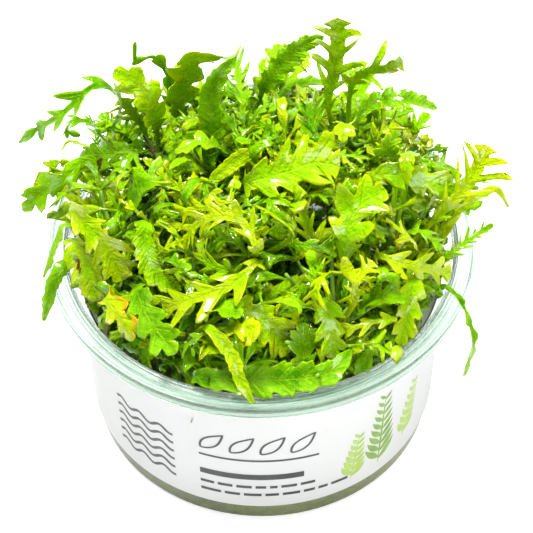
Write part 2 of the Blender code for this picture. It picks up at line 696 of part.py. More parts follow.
def build():
    """Make every sub-part of the planted cup."""
    clear_scene()
    clear_plastic = material("clear_plastic", (0.82, 0.92, 0.87), 0.08, transmission=0.9)
    paper = material("label_film", (0.93, 0.93, 0.92), 0.35)
    gel_finish = material("olive_gel", (0.36, 0.40, 0.16), 0.25)
    stem_finish = material("green_stem", (0.24, 0.42, 0.05), 0.35)
    leaf_finish = material("leaf_green", (0.30, 0.62, 0.02), 0.28)

    cup = turned(cup_profile(), ROUND_STEPS)
    obstacles = [tree_of(cup)]
    cup.free()
    stem_trees = []
    for stem in STEMS:
        solid = stem_solid(stem)
        stem_trees.append(tree_of(solid))
        solid.free()

    make_cup(clear_plastic)
    make_label(paper)
    make_gel(gel_finish)
    crowded = []
    for leaf in LEAVES:
        sections = settled(leaf, obstacles, stem_trees)
        if sections is None:
            crowded.append(leaf.name)
            continue
        solid = leaf_solid(sections)
        obstacles.append(tree_of(solid))
        add_object(leaf.name, solid, leaf_finish)
    centres = [Vector(leaf.points[len(leaf.points) // 2]) for leaf in LEAVES]
    grown = grow_small_leaves(obstacles, stem_trees, centres)
    for stem, small in zip(STEMS, grown):
        make_plantlet(stem, small, stem_finish, leaf_finish)
    if crowded:
        raise RuntimeError(f"no clear place for {', '.join(crowded)}")


build()
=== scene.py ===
"""Look of a clear cup of tissue-cultured water plants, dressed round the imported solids."""
import logging
import math
import random
from dataclasses import dataclass, field, replace
from enum import Enum

import bpy
import numpy as np
from mathutils import Matrix, Vector
from mathutils.bvhtree import BVHTree
from mathutils.kdtree import KDTree


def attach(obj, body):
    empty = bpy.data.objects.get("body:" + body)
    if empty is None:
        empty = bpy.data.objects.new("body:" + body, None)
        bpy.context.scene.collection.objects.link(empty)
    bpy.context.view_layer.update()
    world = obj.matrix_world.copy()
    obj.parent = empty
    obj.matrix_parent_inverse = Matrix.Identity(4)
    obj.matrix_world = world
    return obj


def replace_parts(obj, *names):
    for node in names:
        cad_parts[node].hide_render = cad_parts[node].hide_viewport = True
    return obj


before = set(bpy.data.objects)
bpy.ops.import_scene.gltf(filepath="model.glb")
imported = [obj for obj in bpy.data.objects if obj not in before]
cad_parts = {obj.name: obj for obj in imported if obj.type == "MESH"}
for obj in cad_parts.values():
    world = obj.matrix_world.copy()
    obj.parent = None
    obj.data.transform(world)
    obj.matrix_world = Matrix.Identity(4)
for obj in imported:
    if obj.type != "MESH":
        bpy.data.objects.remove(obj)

LOG = logging.getLogger("planted_cup")
MM = 0.001
SHARP_EDGE = 40.0
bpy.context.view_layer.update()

# Values that the solids were built with, in millimetres and degrees
CLEARANCE = 0.3
STEM_FOOT = 4.0
STEM_BEND = 1.4
STEM_RADIUS_LOW = 1.4
STEM_RADIUS_HIGH = 1.0
STEM_GAP = 0.4
SPINE_SAMPLES = 60
SPAN_STEPS = 16
FOLD = 22.0
PETIOLE_HALF_WIDTH = 0.65
PETIOLE_SHARE = 0.8
LONGEST_PETIOLE = 0.55
LIFT_LINE = Vector((0.0, -0.64, 0.77))
LIFTS = (0.0, 1.5, -1.5, 3.0, -3.0, 4.5, -4.5, 6.0)
TURNS = (0.0, 35.0, -35.0, 70.0, -70.0)
DROPS = (0.0, -3.0, 2.0, -6.0, -10.0)
SMALL_LEAVES_PER_PLANTLET = 7
SMALL_LEAF_TRIES = 120
SMALL_LEAF_WIDTH = 10.0
SMALL_PETIOLE = 0.2
STEEPEST = 1.3
SEED = 12
MOUND_RADIUS = 54.0
MOUND_REACH = 53.0
MOUND_FRONT_REACH = 43.0
MOUND_RIM_HEIGHT = 58.0
MOUND_RISE = 25.0
MOUND_BACK_RISE = 0.2


class Lobing(Enum):
    """Which edges of a leaf are lobed."""
    BOTH = "both"
    RIGHT = "right"
    LEFT = "left"


class Facing(Enum):
    """Ways the upper face of a leaf looks at its middle."""
    UP = (0.0, 0.0, 1.0)
    FRONT_UP = (0.0, -0.6, 0.8)
    FRONT = (0.0, -0.8, 0.5)
    UPRIGHT = (0.0, -0.9, 0.3)
    LEFT_OUT = (-0.8, -0.4, 0.4)
    LEFT_FRONT = (-0.5, -0.5, 0.7)
    LEFT_UP = (-0.2, -0.5, 0.8)
    RIGHT_FRONT = (0.3, -0.7, 0.6)
    RIGHT_ROLLED = (0.3, -0.5, 0.8)
    RIGHT_UP = (0.2, -0.6, 0.7)
    RIGHT_OUT = (0.6, -0.5, 0.6)
    RIGHT_SOFT = (0.2, -0.6, 0.8)
    BACK_UP = (0.0, -0.2, 1.0)


@dataclass(frozen=True)
class Outline:
    """Outline of a blade.

    Args:
        lobes: lobes on a side, the one at the tip included.
        cut: width between lobes over the width at a lobe.
        lean: how far a lobe leans to the tip, over its half width.
        widest: place of the widest lobe, from 0 at the foot to 1 at the tip.
        tip: width of the last lobe over the widest.
        finger: width of a lobe over the space that it has.
        ripple: height of the edge's waves over the half width.
        curl: how far single lobes bend up or down, over the half width.
    """
    lobes: int
    cut: float
    lean: float
    widest: float
    tip: float
    finger: float
    ripple: float
    curl: float

    def small(self) -> "Outline":
        """Same outline with the fewer lobes of a finer leaf."""
        return replace(self, lobes=max(2, (self.lobes + 1) // 2), curl=1.6 * self.curl + 0.1)


class Form(Enum):
    """Named outlines of the leaves."""
    COMB = Outline(7, 0.24, 1.00, 0.45, 0.30, 0.50, 0.12, 0.70)
    OAK = Outline(4, 0.44, 0.60, 0.55, 0.55, 0.82, 0.18, 0.40)
    FINGERS = Outline(4, 0.24, 1.00, 0.60, 0.60, 0.52, 0.12, 0.60)
    FAN = Outline(5, 0.26, 1.10, 0.62, 0.70, 0.46, 0.14, 0.80)
    TOOTHED = Outline(7, 0.72, 0.55, 0.45, 0.30, 0.80, 0.12, 0.15)
    BLADE = Outline(4, 0.70, 0.50, 0.50, 0.35, 0.92, 0.14, 0.20)
    STRAP = Outline(4, 0.80, 0.40, 0.40, 0.30, 0.85, 0.12, 0.10)
    MAPLE = Outline(5, 0.46, 0.70, 0.60, 0.75, 0.66, 0.18, 0.40)
    SPOON = Outline(3, 1.00, 0.00, 0.75, 1.00, 1.00, 0.04, 0.00)
    WISP = Outline(6, 0.45, 0.30, 0.85, 1.00, 0.70, 0.45, 0.50)
    TENDRIL = Outline(5, 0.38, 0.95, 0.30, 0.35, 0.56, 0.16, 0.45)


SMALL_FORMS = (Form.OAK, Form.OAK, Form.COMB, Form.FINGERS)


class Stem(Enum):
    """The nine stems: name, foot x and y, top x, y and z."""
    BACK_LEFT = ("plantlet_back_left", (-20, 14), (-25, 21, 64))
    BACK_MIDDLE = ("plantlet_back_middle", (-2, 13), (-4, 11, 73))
    BACK_RIGHT = ("plantlet_back_right", (18, 14), (21, 19, 70))
    LEFT = ("plantlet_left", (-28, -6), (-34, -4, 64))
    MIDDLE = ("plantlet_middle", (-3, -6), (-5, -8, 72))
    RIGHT = ("plantlet_right", (25, -6), (30, -6, 66))
    FRONT_LEFT = ("plantlet_front_left", (-14, -24), (-16, -28, 59))
    FRONT_RIGHT = ("plantlet_front_right", (13, -24), (17, -27, 60))
    BACK = ("plantlet_back", (-2, 31), (-2, 34, 66))

    @property
    def node(self) -> str:
        """Name of the stem's solid."""
        return self.value[0]

    @property
    def top(self) -> Vector:
        """Top of the stem."""
        return Vector(self.value[2])

    def point(self, height: float) -> Vector:
        """Point on the stem's axis at a height.

        Args:
            height: height over the table.

        Returns:
            The point; the stem leans out more towards its top.
        """
        _, foot, top = self.value
        bend = max((height - STEM_FOOT) / (top[2] - STEM_FOOT), 0.0) ** STEM_BEND
        return Vector((foot[0] + (top[0] - foot[0]) * bend, foot[1] + (top[1] - foot[1]) * bend, height))

    def radius(self, height: float) -> float:
        """Radius of the stem at a height.

        Args:
            height: height over the table.

        Returns:
            The radius.
        """
        share = (height - STEM_FOOT) / (self.value[2][2] - STEM_FOOT)
        return STEM_RADIUS_LOW + (STEM_RADIUS_HIGH - STEM_RADIUS_LOW) * share


@dataclass(frozen=True)
class Mark:
    """Brown or amber spot on a leaf.

    Args:
        along: place along the blade, from 0 to 1.
        across: place across it, from -1, the left edge, to 1.
        long: its reach along the blade, over the blade's length.
        wide: its reach across, over the half width.
        brown: how brown it is.
        amber: how amber it is.
    """
    along: float
    across: float
    long: float
    wide: float
    brown: float = 0.0
    amber: float = 0.0


@dataclass(frozen=True)
class LeafPlan:
    """One of the larger leaves.

    Args:
        name: name of its solid.
        stem: stem that it grows on.
        height: height on the stem.
        points: points that its spine passes, from the blade's foot to its tip.
        width: width of the blade.
        form: outline.
        facing: way that the upper face looks at the middle.
        tone: colour from 0, deep green, to 1, bright yellow-green.
        lobing: edges that are lobed.
        marks: its spots.
    """
    name: str
    stem: Stem
    height: float
    points: tuple
    width: float
    form: Form
    facing: Facing
    tone: float = 0.6
    lobing: Lobing = Lobing.BOTH
    marks: tuple = ()


LEAF_PLANS = (
    LeafPlan("leaf_left_arch", Stem.BACK_LEFT, 56,
             ((-34, 20, 69), (-32, 21, 80), (-37, 20, 87), (-45, 16, 82), (-51, 17, 76), (-56, 18, 70)),
             8, Form.COMB, Facing.UP, 0.30),
    LeafPlan("leaf_left_curl", Stem.BACK_LEFT, 51,
             ((-37, 23, 66), (-39, 21, 73), (-43, 20, 75), (-45, 21, 71), (-42, 23, 67)),
             6, Form.COMB, Facing.UP, 0.35),
    LeafPlan("leaf_back_left_lobed", Stem.BACK_LEFT, 62,
             ((-24, 20, 72), (-25, 18, 82), (-28, 19, 88), (-33, 20, 92)),
             10, Form.OAK, Facing.RIGHT_FRONT, 0.72),
    LeafPlan("leaf_back_left_broad", Stem.BACK_LEFT, 58,
             ((-27, 23, 68), (-29, 22, 75), (-32, 21, 82)), 10, Form.FAN, Facing.FRONT, 0.7),
    LeafPlan("leaf_back_tendril", Stem.BACK, 50,
             ((-19, 27, 70), (-21, 26, 84), (-24, 26, 90), (-28, 23, 92), (-28, 22, 99)),
             4, Form.TENDRIL, Facing.FRONT, 0.4),
    LeafPlan("leaf_back_tall_broad", Stem.BACK, 56,
             ((-18, 25, 72), (-17, 24, 86), (-14, 22, 94), (-8, 21, 95)),
             11, Form.OAK, Facing.FRONT, 0.68),
    LeafPlan("leaf_tall_strap", Stem.BACK_MIDDLE, 50,
             ((-12, 10, 66), (-11, 13, 76), (-11, 16, 87), (-9, 17, 93), (-5, 19, 97)),
             7, Form.TOOTHED, Facing.UPRIGHT, 0.32, Lobing.RIGHT),
    LeafPlan("leaf_spoon", Stem.MIDDLE, 66,
             ((-11, -2, 76), (-7, 1, 80), (-2, 3, 83)), 4, Form.SPOON, Facing.FRONT_UP, 0.8),
    LeafPlan("leaf_left_scalloped", Stem.BACK_LEFT, 55,
             ((-28, 19, 66), (-34, 16, 68), (-41, 18, 66)), 8, Form.OAK, Facing.FRONT_UP, 0.4,
             marks=(Mark(0.7, -0.9, 0.12, 0.4, brown=1.2), Mark(0.9, -0.8, 0.05, 0.4, brown=1.0))),
    LeafPlan("leaf_left_lower", Stem.LEFT, 60,
             ((-39, 11, 70), (-45, 7, 70), (-50, 6, 67), (-55, 4, 62)),
             8, Form.OAK, Facing.FRONT_UP, 0.5),
    LeafPlan("leaf_left_broad", Stem.LEFT, 62,
             ((-43, -7, 74), (-37, -12, 72), (-31, -17, 62)), 12, Form.MAPLE, Facing.LEFT_UP, 0.85),
    LeafPlan("leaf_left_blotched", Stem.LEFT, 58,
             ((-42, -9, 67), (-40, -14, 64), (-37, -19, 57)), 9, Form.BLADE, Facing.LEFT_FRONT, 0.75,
             marks=(Mark(0.45, 0.45, 0.16, 0.16, brown=1.3), Mark(0.78, 0.5, 0.06, 0.14, brown=1.2))),
    LeafPlan("leaf_left_hanging_short", Stem.LEFT, 53,
             ((-44, -4, 66), (-47, -7, 64), (-50, -12, 57)), 4, Form.STRAP, Facing.LEFT_OUT, 0.5),
    LeafPlan("leaf_left_hanging_long", Stem.LEFT, 45,
             ((-42, -10, 60), (-47, -15, 60), (-50, -20, 51)), 4, Form.STRAP, Facing.LEFT_OUT, 0.35),
    LeafPlan("leaf_long_pointed", Stem.FRONT_LEFT, 57,
             ((-12, -37, 69), (-7, -42, 66), (-5, -46, 62), (-2, -49, 57)),
             4, Form.STRAP, Facing.RIGHT_UP, 0.8),
    LeafPlan("leaf_front_dark", Stem.FRONT_LEFT, 44,
             ((-15, -41, 57), (-5, -43, 58), (6, -43, 58), (15, -42, 59), (20, -38, 62)),
             9, Form.TOOTHED, Facing.FRONT_UP, 0.3),
    LeafPlan("leaf_yellow_edge", Stem.FRONT_LEFT, 50,
             ((-34, -20, 59), (-31, -27, 60), (-29, -30, 56)), 7, Form.OAK, Facing.FRONT_UP, 0.95,
             marks=(Mark(0.45, 1.0, 0.35, 0.3, amber=0.8), Mark(0.75, 0.8, 0.2, 0.3, amber=0.5))),
    LeafPlan("leaf_front_left_thin", Stem.FRONT_LEFT, 53,
             ((-27, -31, 64), (-22, -34, 65), (-17, -34, 63)), 3, Form.COMB, Facing.FRONT_UP, 0.8),
    LeafPlan("leaf_front_left_broad", Stem.LEFT, 46,
             ((-28, -19, 61), (-25, -28, 62), (-19, -36, 59)), 10, Form.OAK, Facing.FRONT_UP, 0.35),
    LeafPlan("leaf_spiky", Stem.MIDDLE, 58,
             ((-1, -23, 75), (-7, -29, 74), (-15, -31, 72), (-22, -30, 67)),
             11, Form.FINGERS, Facing.FRONT_UP, 0.85),
    LeafPlan("leaf_rolled_left", Stem.LEFT, 63,
             ((-27, -12, 76), (-26, -17, 73), (-24, -21, 69), (-18, -24, 66)),
             7, Form.TOOTHED, Facing.RIGHT_ROLLED, 0.6),
    LeafPlan("leaf_strap_under", Stem.LEFT, 47,
             ((-27, -17, 62), (-22, -23, 60), (-17, -28, 58)), 4, Form.STRAP, Facing.FRONT_UP, 0.4),
    LeafPlan("leaf_bright_arc", Stem.MIDDLE, 67,
             ((-11, -11, 84), (-6, -16, 82), (-2, -18, 79), (2, -16, 78)),
             7, Form.COMB, Facing.FRONT_UP, 1.0),
    LeafPlan("leaf_curly_wide", Stem.MIDDLE, 61,
             ((-1, -21, 76), (-4, -16, 80), (-10, -15, 81), (-15, -15, 77), (-17, -17, 72)),
             9, Form.COMB, Facing.FRONT_UP, 0.9),
    LeafPlan("leaf_curly_inner", Stem.MIDDLE, 55,
             ((-6, -23, 71), (-12, -22, 74), (-13, -18, 77), (-8, -15, 77)),
             8, Form.COMB, Facing.FRONT_UP, 0.7),
    LeafPlan("leaf_top_strap", Stem.BACK, 61,
             ((1, 27, 78), (6, 28, 86), (10, 29, 90), (15, 30, 92)), 7, Form.TOOTHED, Facing.FRONT, 0.4),
    LeafPlan("leaf_fan", Stem.BACK_RIGHT, 60,
             ((16, 23, 76), (17, 25, 84), (18, 27, 92), (18, 29, 99)), 15, Form.FAN, Facing.FRONT, 0.7),
    LeafPlan("leaf_fan_side", Stem.BACK_RIGHT, 64,
             ((21, 24, 80), (24, 24, 86), (29, 24, 88), (33, 25, 89)), 11, Form.FAN, Facing.FRONT, 0.65),
    LeafPlan("leaf_right_arch", Stem.BACK_RIGHT, 66,
             ((23, 18, 77), (27, 18, 82), (34, 19, 82), (41, 20, 78)), 6, Form.TOOTHED, Facing.BACK_UP, 0.35),
    LeafPlan("leaf_right_small", Stem.RIGHT, 64,
             ((31, 4, 76), (29, 4, 82), (31, 6, 86)), 7, Form.OAK, Facing.FRONT, 0.6),
    LeafPlan("leaf_right_drooping", Stem.RIGHT, 65,
             ((34, 2, 78), (34, 2, 83), (33, -2, 85), (33, -6, 81)), 5, Form.STRAP, Facing.FRONT_UP, 0.7),
    LeafPlan("leaf_oak", Stem.BACK_MIDDLE, 66,
             ((-3, -3, 79), (5, -4, 83), (12, -2, 84), (18, -2, 83)), 16, Form.MAPLE, Facing.FRONT_UP, 0.7),
    LeafPlan("leaf_right_horizontal", Stem.RIGHT, 62,
             ((25, -2, 78), (34, -2, 79), (45, -2, 74)), 9, Form.OAK, Facing.FRONT_UP, 0.6),
    LeafPlan("leaf_right_fingers", Stem.RIGHT, 58,
             ((41, -5, 70), (46, -3, 76), (49, 0, 80), (51, 3, 84)), 13, Form.FAN, Facing.FRONT, 0.9,
             marks=(Mark(1.0, 0.0, 0.2, 1.6, amber=0.35),)),
    LeafPlan("leaf_right_tail", Stem.RIGHT, 54,
             ((46, -2, 68), (51, 0, 71), (54, 1, 71), (57, 0, 66)), 2.4, Form.STRAP, Facing.FRONT_UP, 0.95,
             marks=(Mark(1.0, 0.0, 0.35, 2.0, amber=0.35),)),
    LeafPlan("leaf_right_lobed", Stem.FRONT_RIGHT, 58,
             ((19, -19, 75), (21, -14, 81), (28, -10, 84)), 12, Form.OAK, Facing.FRONT_UP, 0.65),
    LeafPlan("leaf_right_wisp", Stem.RIGHT, 49,
             ((42, -12, 63), (47, -10, 66), (53, -6, 67)), 5, Form.COMB, Facing.FRONT_UP, 0.55),
    LeafPlan("leaf_yellow_upper", Stem.RIGHT, 60,
             ((35, -15, 70), (32, -16, 76), (28, -14, 79)), 8, Form.FINGERS, Facing.FRONT_UP, 1.0),
    LeafPlan("leaf_yellow_broad", Stem.RIGHT, 56,
             ((26, -19, 72), (33, -21, 71), (43, -17, 63)), 10, Form.FINGERS, Facing.FRONT_UP, 0.9),
    LeafPlan("leaf_right_trailing", Stem.RIGHT, 45,
             ((40, -18, 60), (44, -21, 60), (47, -25, 56), (48, -28, 50), (46, -31, 43)),
             2.6, Form.WISP, Facing.RIGHT_OUT, 0.4, marks=(Mark(1.0, 0.0, 0.06, 1.5, amber=0.3),)),
    LeafPlan("leaf_star_left", Stem.MIDDLE, 67,
             ((7, -22, 82), (3, -19, 86), (-1, -17, 87)), 4, Form.COMB, Facing.FRONT_UP, 0.7),
    LeafPlan("leaf_star_right", Stem.MIDDLE, 63,
             ((8, -19, 76), (13, -20, 76), (19, -14, 73)), 7, Form.FINGERS, Facing.FRONT_UP, 0.4),
    LeafPlan("leaf_yellow_star", Stem.FRONT_RIGHT, 57,
             ((21, -31, 71), (21, -30, 76), (25, -26, 78)), 8, Form.FINGERS, Facing.FRONT_UP, 1.0),
    LeafPlan("leaf_front_mid", Stem.FRONT_RIGHT, 55,
             ((14, -29, 69), (15, -34, 66), (16, -38, 59)), 9, Form.OAK, Facing.FRONT_UP, 0.65),
    LeafPlan("leaf_front_apex", Stem.FRONT_RIGHT, 47,
             ((10, -40, 58), (9, -38, 63), (9, -35, 68)), 9, Form.OAK, Facing.FRONT, 0.45),
    LeafPlan("leaf_front_glossy", Stem.FRONT_LEFT, 55,
             ((-6, -33, 70), (0, -35, 69), (6, -38, 61)), 12, Form.OAK, Facing.FRONT_UP, 0.75),
    LeafPlan("leaf_right_front", Stem.RIGHT, 56,
             ((34, -19, 67), (33, -27, 63), (31, -33, 57)), 8, Form.OAK, Facing.RIGHT_SOFT, 0.75),
    LeafPlan("leaf_front_fingers", Stem.FRONT_RIGHT, 53,
             ((30, -31, 64), (23, -33, 65), (16, -34, 62)), 6, Form.FINGERS, Facing.FRONT_UP, 0.85),
)


def smooth_path(points: list, samples: int) -> tuple:
    """Points spread evenly on a curve that passes smoothly through the given points.

    Args:
        points: the points to pass, as vectors.
        samples: spans between the points that are returned.

    Returns:
        The points, and the length of the curve.
    """
    ends = [points[0] * 2.0 - points[1]] + list(points) + [points[-1] * 2.0 - points[-2]]
    dense = []
    for index in range(1, len(ends) - 2):
        before, start, end, after = ends[index - 1:index + 3]
        for step in range(SPAN_STEPS):
            t = step / SPAN_STEPS
            dense.append(0.5 * (2.0 * start + (end - before) * t
                                + (2.0 * before - 5.0 * start + 4.0 * end - after) * t ** 2
                                + (3.0 * start - before - 3.0 * end + after) * t ** 3))
    dense.append(points[-1].copy())
    line = np.array(dense, float)
    steps = np.linalg.norm(np.diff(line, axis=0), axis=1)
    lengths = np.concatenate([[0.0], np.cumsum(steps)])
    wanted = np.linspace(0.0, lengths[-1], samples + 1)
    even = np.stack([np.interp(wanted, lengths, line[:, axis]) for axis in range(3)], axis=1)
    return even, float(lengths[-1])


@dataclass
class Spine:
    """Line that a leaf follows, with its tangent, side and face directions.

    Args:
        path: points along the line.
        facing: way that the upper face looks at the middle.
        length: length of the line.
    """
    path: np.ndarray
    facing: tuple
    length: float
    tangents: np.ndarray = field(init=False)
    sides: np.ndarray = field(init=False)
    faces: np.ndarray = field(init=False)

    def __post_init__(self) -> None:
        """Carry the face direction from the middle to both ends."""
        count = len(self.path)
        ahead = np.minimum(np.arange(count) + 1, count - 1)
        behind = np.maximum(np.arange(count) - 1, 0)
        tangents = self.path[ahead] - self.path[behind]
        tangents /= np.linalg.norm(tangents, axis=1)[:, None]
        faces = np.zeros_like(tangents)
        middle = count // 2
        face = np.array(self.facing, float)
        face -= tangents[middle] * face.dot(tangents[middle])
        faces[middle] = face / np.linalg.norm(face)
        for order in (range(middle + 1, count), range(middle - 1, -1, -1)):
            face = faces[middle]
            for index in order:
                face = face - tangents[index] * face.dot(tangents[index])
                face /= np.linalg.norm(face)
                faces[index] = face
        self.tangents = tangents
        self.faces = faces
        self.sides = np.cross(tangents, faces)

    def at(self, along: np.ndarray) -> tuple:
        """Places and directions at shares of the length.

        Args:
            along: shares from 0 to 1.

        Returns:
            Points, tangents, sides and faces, each one row a share.
        """
        last = len(self.path) - 1
        spots = np.clip(along, 0.0, 1.0) * last
        grid = np.arange(last + 1)
        found = []
        for table in (self.path, self.tangents, self.sides, self.faces):
            found.append(np.stack([np.interp(spots, grid, table[:, axis]) for axis in range(3)], axis=1))
        for table in found[1:]:
            table /= np.linalg.norm(table, axis=1)[:, None]
        return tuple(found)


@dataclass
class Patch:
    """Piece of mesh before it is joined to others.

    Args:
        points: corners, in millimetres.
        faces: corner numbers of each face.
        uv: across and along the leaf, one row a corner.
        tone: colour from deep to bright, one value a corner.
        wither: share of brown, one value a corner.
        veins: side veins along the leaf, one value a corner.
        finish: number of the material.
    """
    points: np.ndarray
    faces: list
    uv: np.ndarray
    tone: np.ndarray
    wither: np.ndarray
    veins: np.ndarray
    finish: int = 0


def tube_faces(rows: int, ring: int) -> list:
    """Faces of a closed tube of rings, with a cap at each end.

    Args:
        rows: number of rings.
        ring: corners of a ring.

    Returns:
        Corner numbers of each face.
    """
    faces = []
    for row in range(rows - 1):
        for side in range(ring):
            after = (side + 1) % ring
            low = row * ring
            high = low + ring
            faces.append((low + side, low + after, high + after, high + side))
    faces.append(tuple(reversed(range(ring))))
    faces.append(tuple(range((rows - 1) * ring, rows * ring)))
    return faces


@dataclass
class Edge:
    """One edge of a blade, with the length and bend of each of its lobes.

    Args:
        outline: outline of the blade.
        lobed: whether it has lobes.
        draws: seeded source of its differences.
        stagger: greatest step between its lobes and those of the other edge, over a lobe.
    """
    outline: Outline
    lobed: bool
    draws: random.Random
    stagger: float
    lengths: np.ndarray = field(init=False)
    bends: np.ndarray = field(init=False)

    crest = 0.6
    plain_cut = 0.90
    end_start = 0.86

    def __post_init__(self) -> None:
        """Draw the differences between the lobes."""
        count = self.outline.lobes
        self.shift = self.stagger * self.draws.uniform(-1.0, 1.0)
        self.phase = self.draws.uniform(0.0, math.tau)
        self.lengths = np.array([self.draws.uniform(0.55, 1.15) for _ in range(count)])
        self.bends = np.array([self.draws.uniform(-1.0, 0.8) for _ in range(count)])

    def turn(self, place: np.ndarray) -> np.ndarray:
        """Lobe that each place lies in, with the share of it that is passed."""
        lobes = self.outline.lobes
        spot = np.minimum(place / self.end_start, 0.9999)
        return spot * lobes + self.shift * (1.0 - spot) * np.minimum(spot * lobes, 1.0)

    def share(self, place: np.ndarray) -> tuple:
        """How far the edge reaches and how far it bends.

        Args:
            place: places from 0 to 1 along the blade.

        Returns:
            Shares of the envelope, and bends over the half width.
        """
        form = self.outline
        cut = form.cut if self.lobed else max(form.cut, self.plain_cut)
        turn = self.turn(place)
        number = np.clip(np.floor(turn), 0, form.lobes - 1).astype(int)
        inside = turn - np.floor(turn)
        gap = np.where(inside < self.crest, (self.crest - inside) / self.crest,
                       (inside - self.crest) / (1.0 - self.crest))
        bump = np.maximum(1.0 - (gap / form.finger) ** 2.4, 0.0) ** 0.62
        share = cut + (1.0 - cut) * bump * self.lengths[number]
        end = np.clip((place - self.end_start) / (1.0 - self.end_start), 0.0, 1.0)
        swell = 1.0 + 0.5 * np.sin(np.pi * np.minimum(end * 1.3, 1.0)) * (1.0 - cut)
        rounded = max(cut, 0.45) * swell * np.sqrt(np.maximum(1.0 - end ** 2.4, 0.0))
        share = np.where(place >= self.end_start, rounded, share)
        return share, form.curl * bump * self.bends[number] * (self.lobed + 0.2) * (end == 0.0)


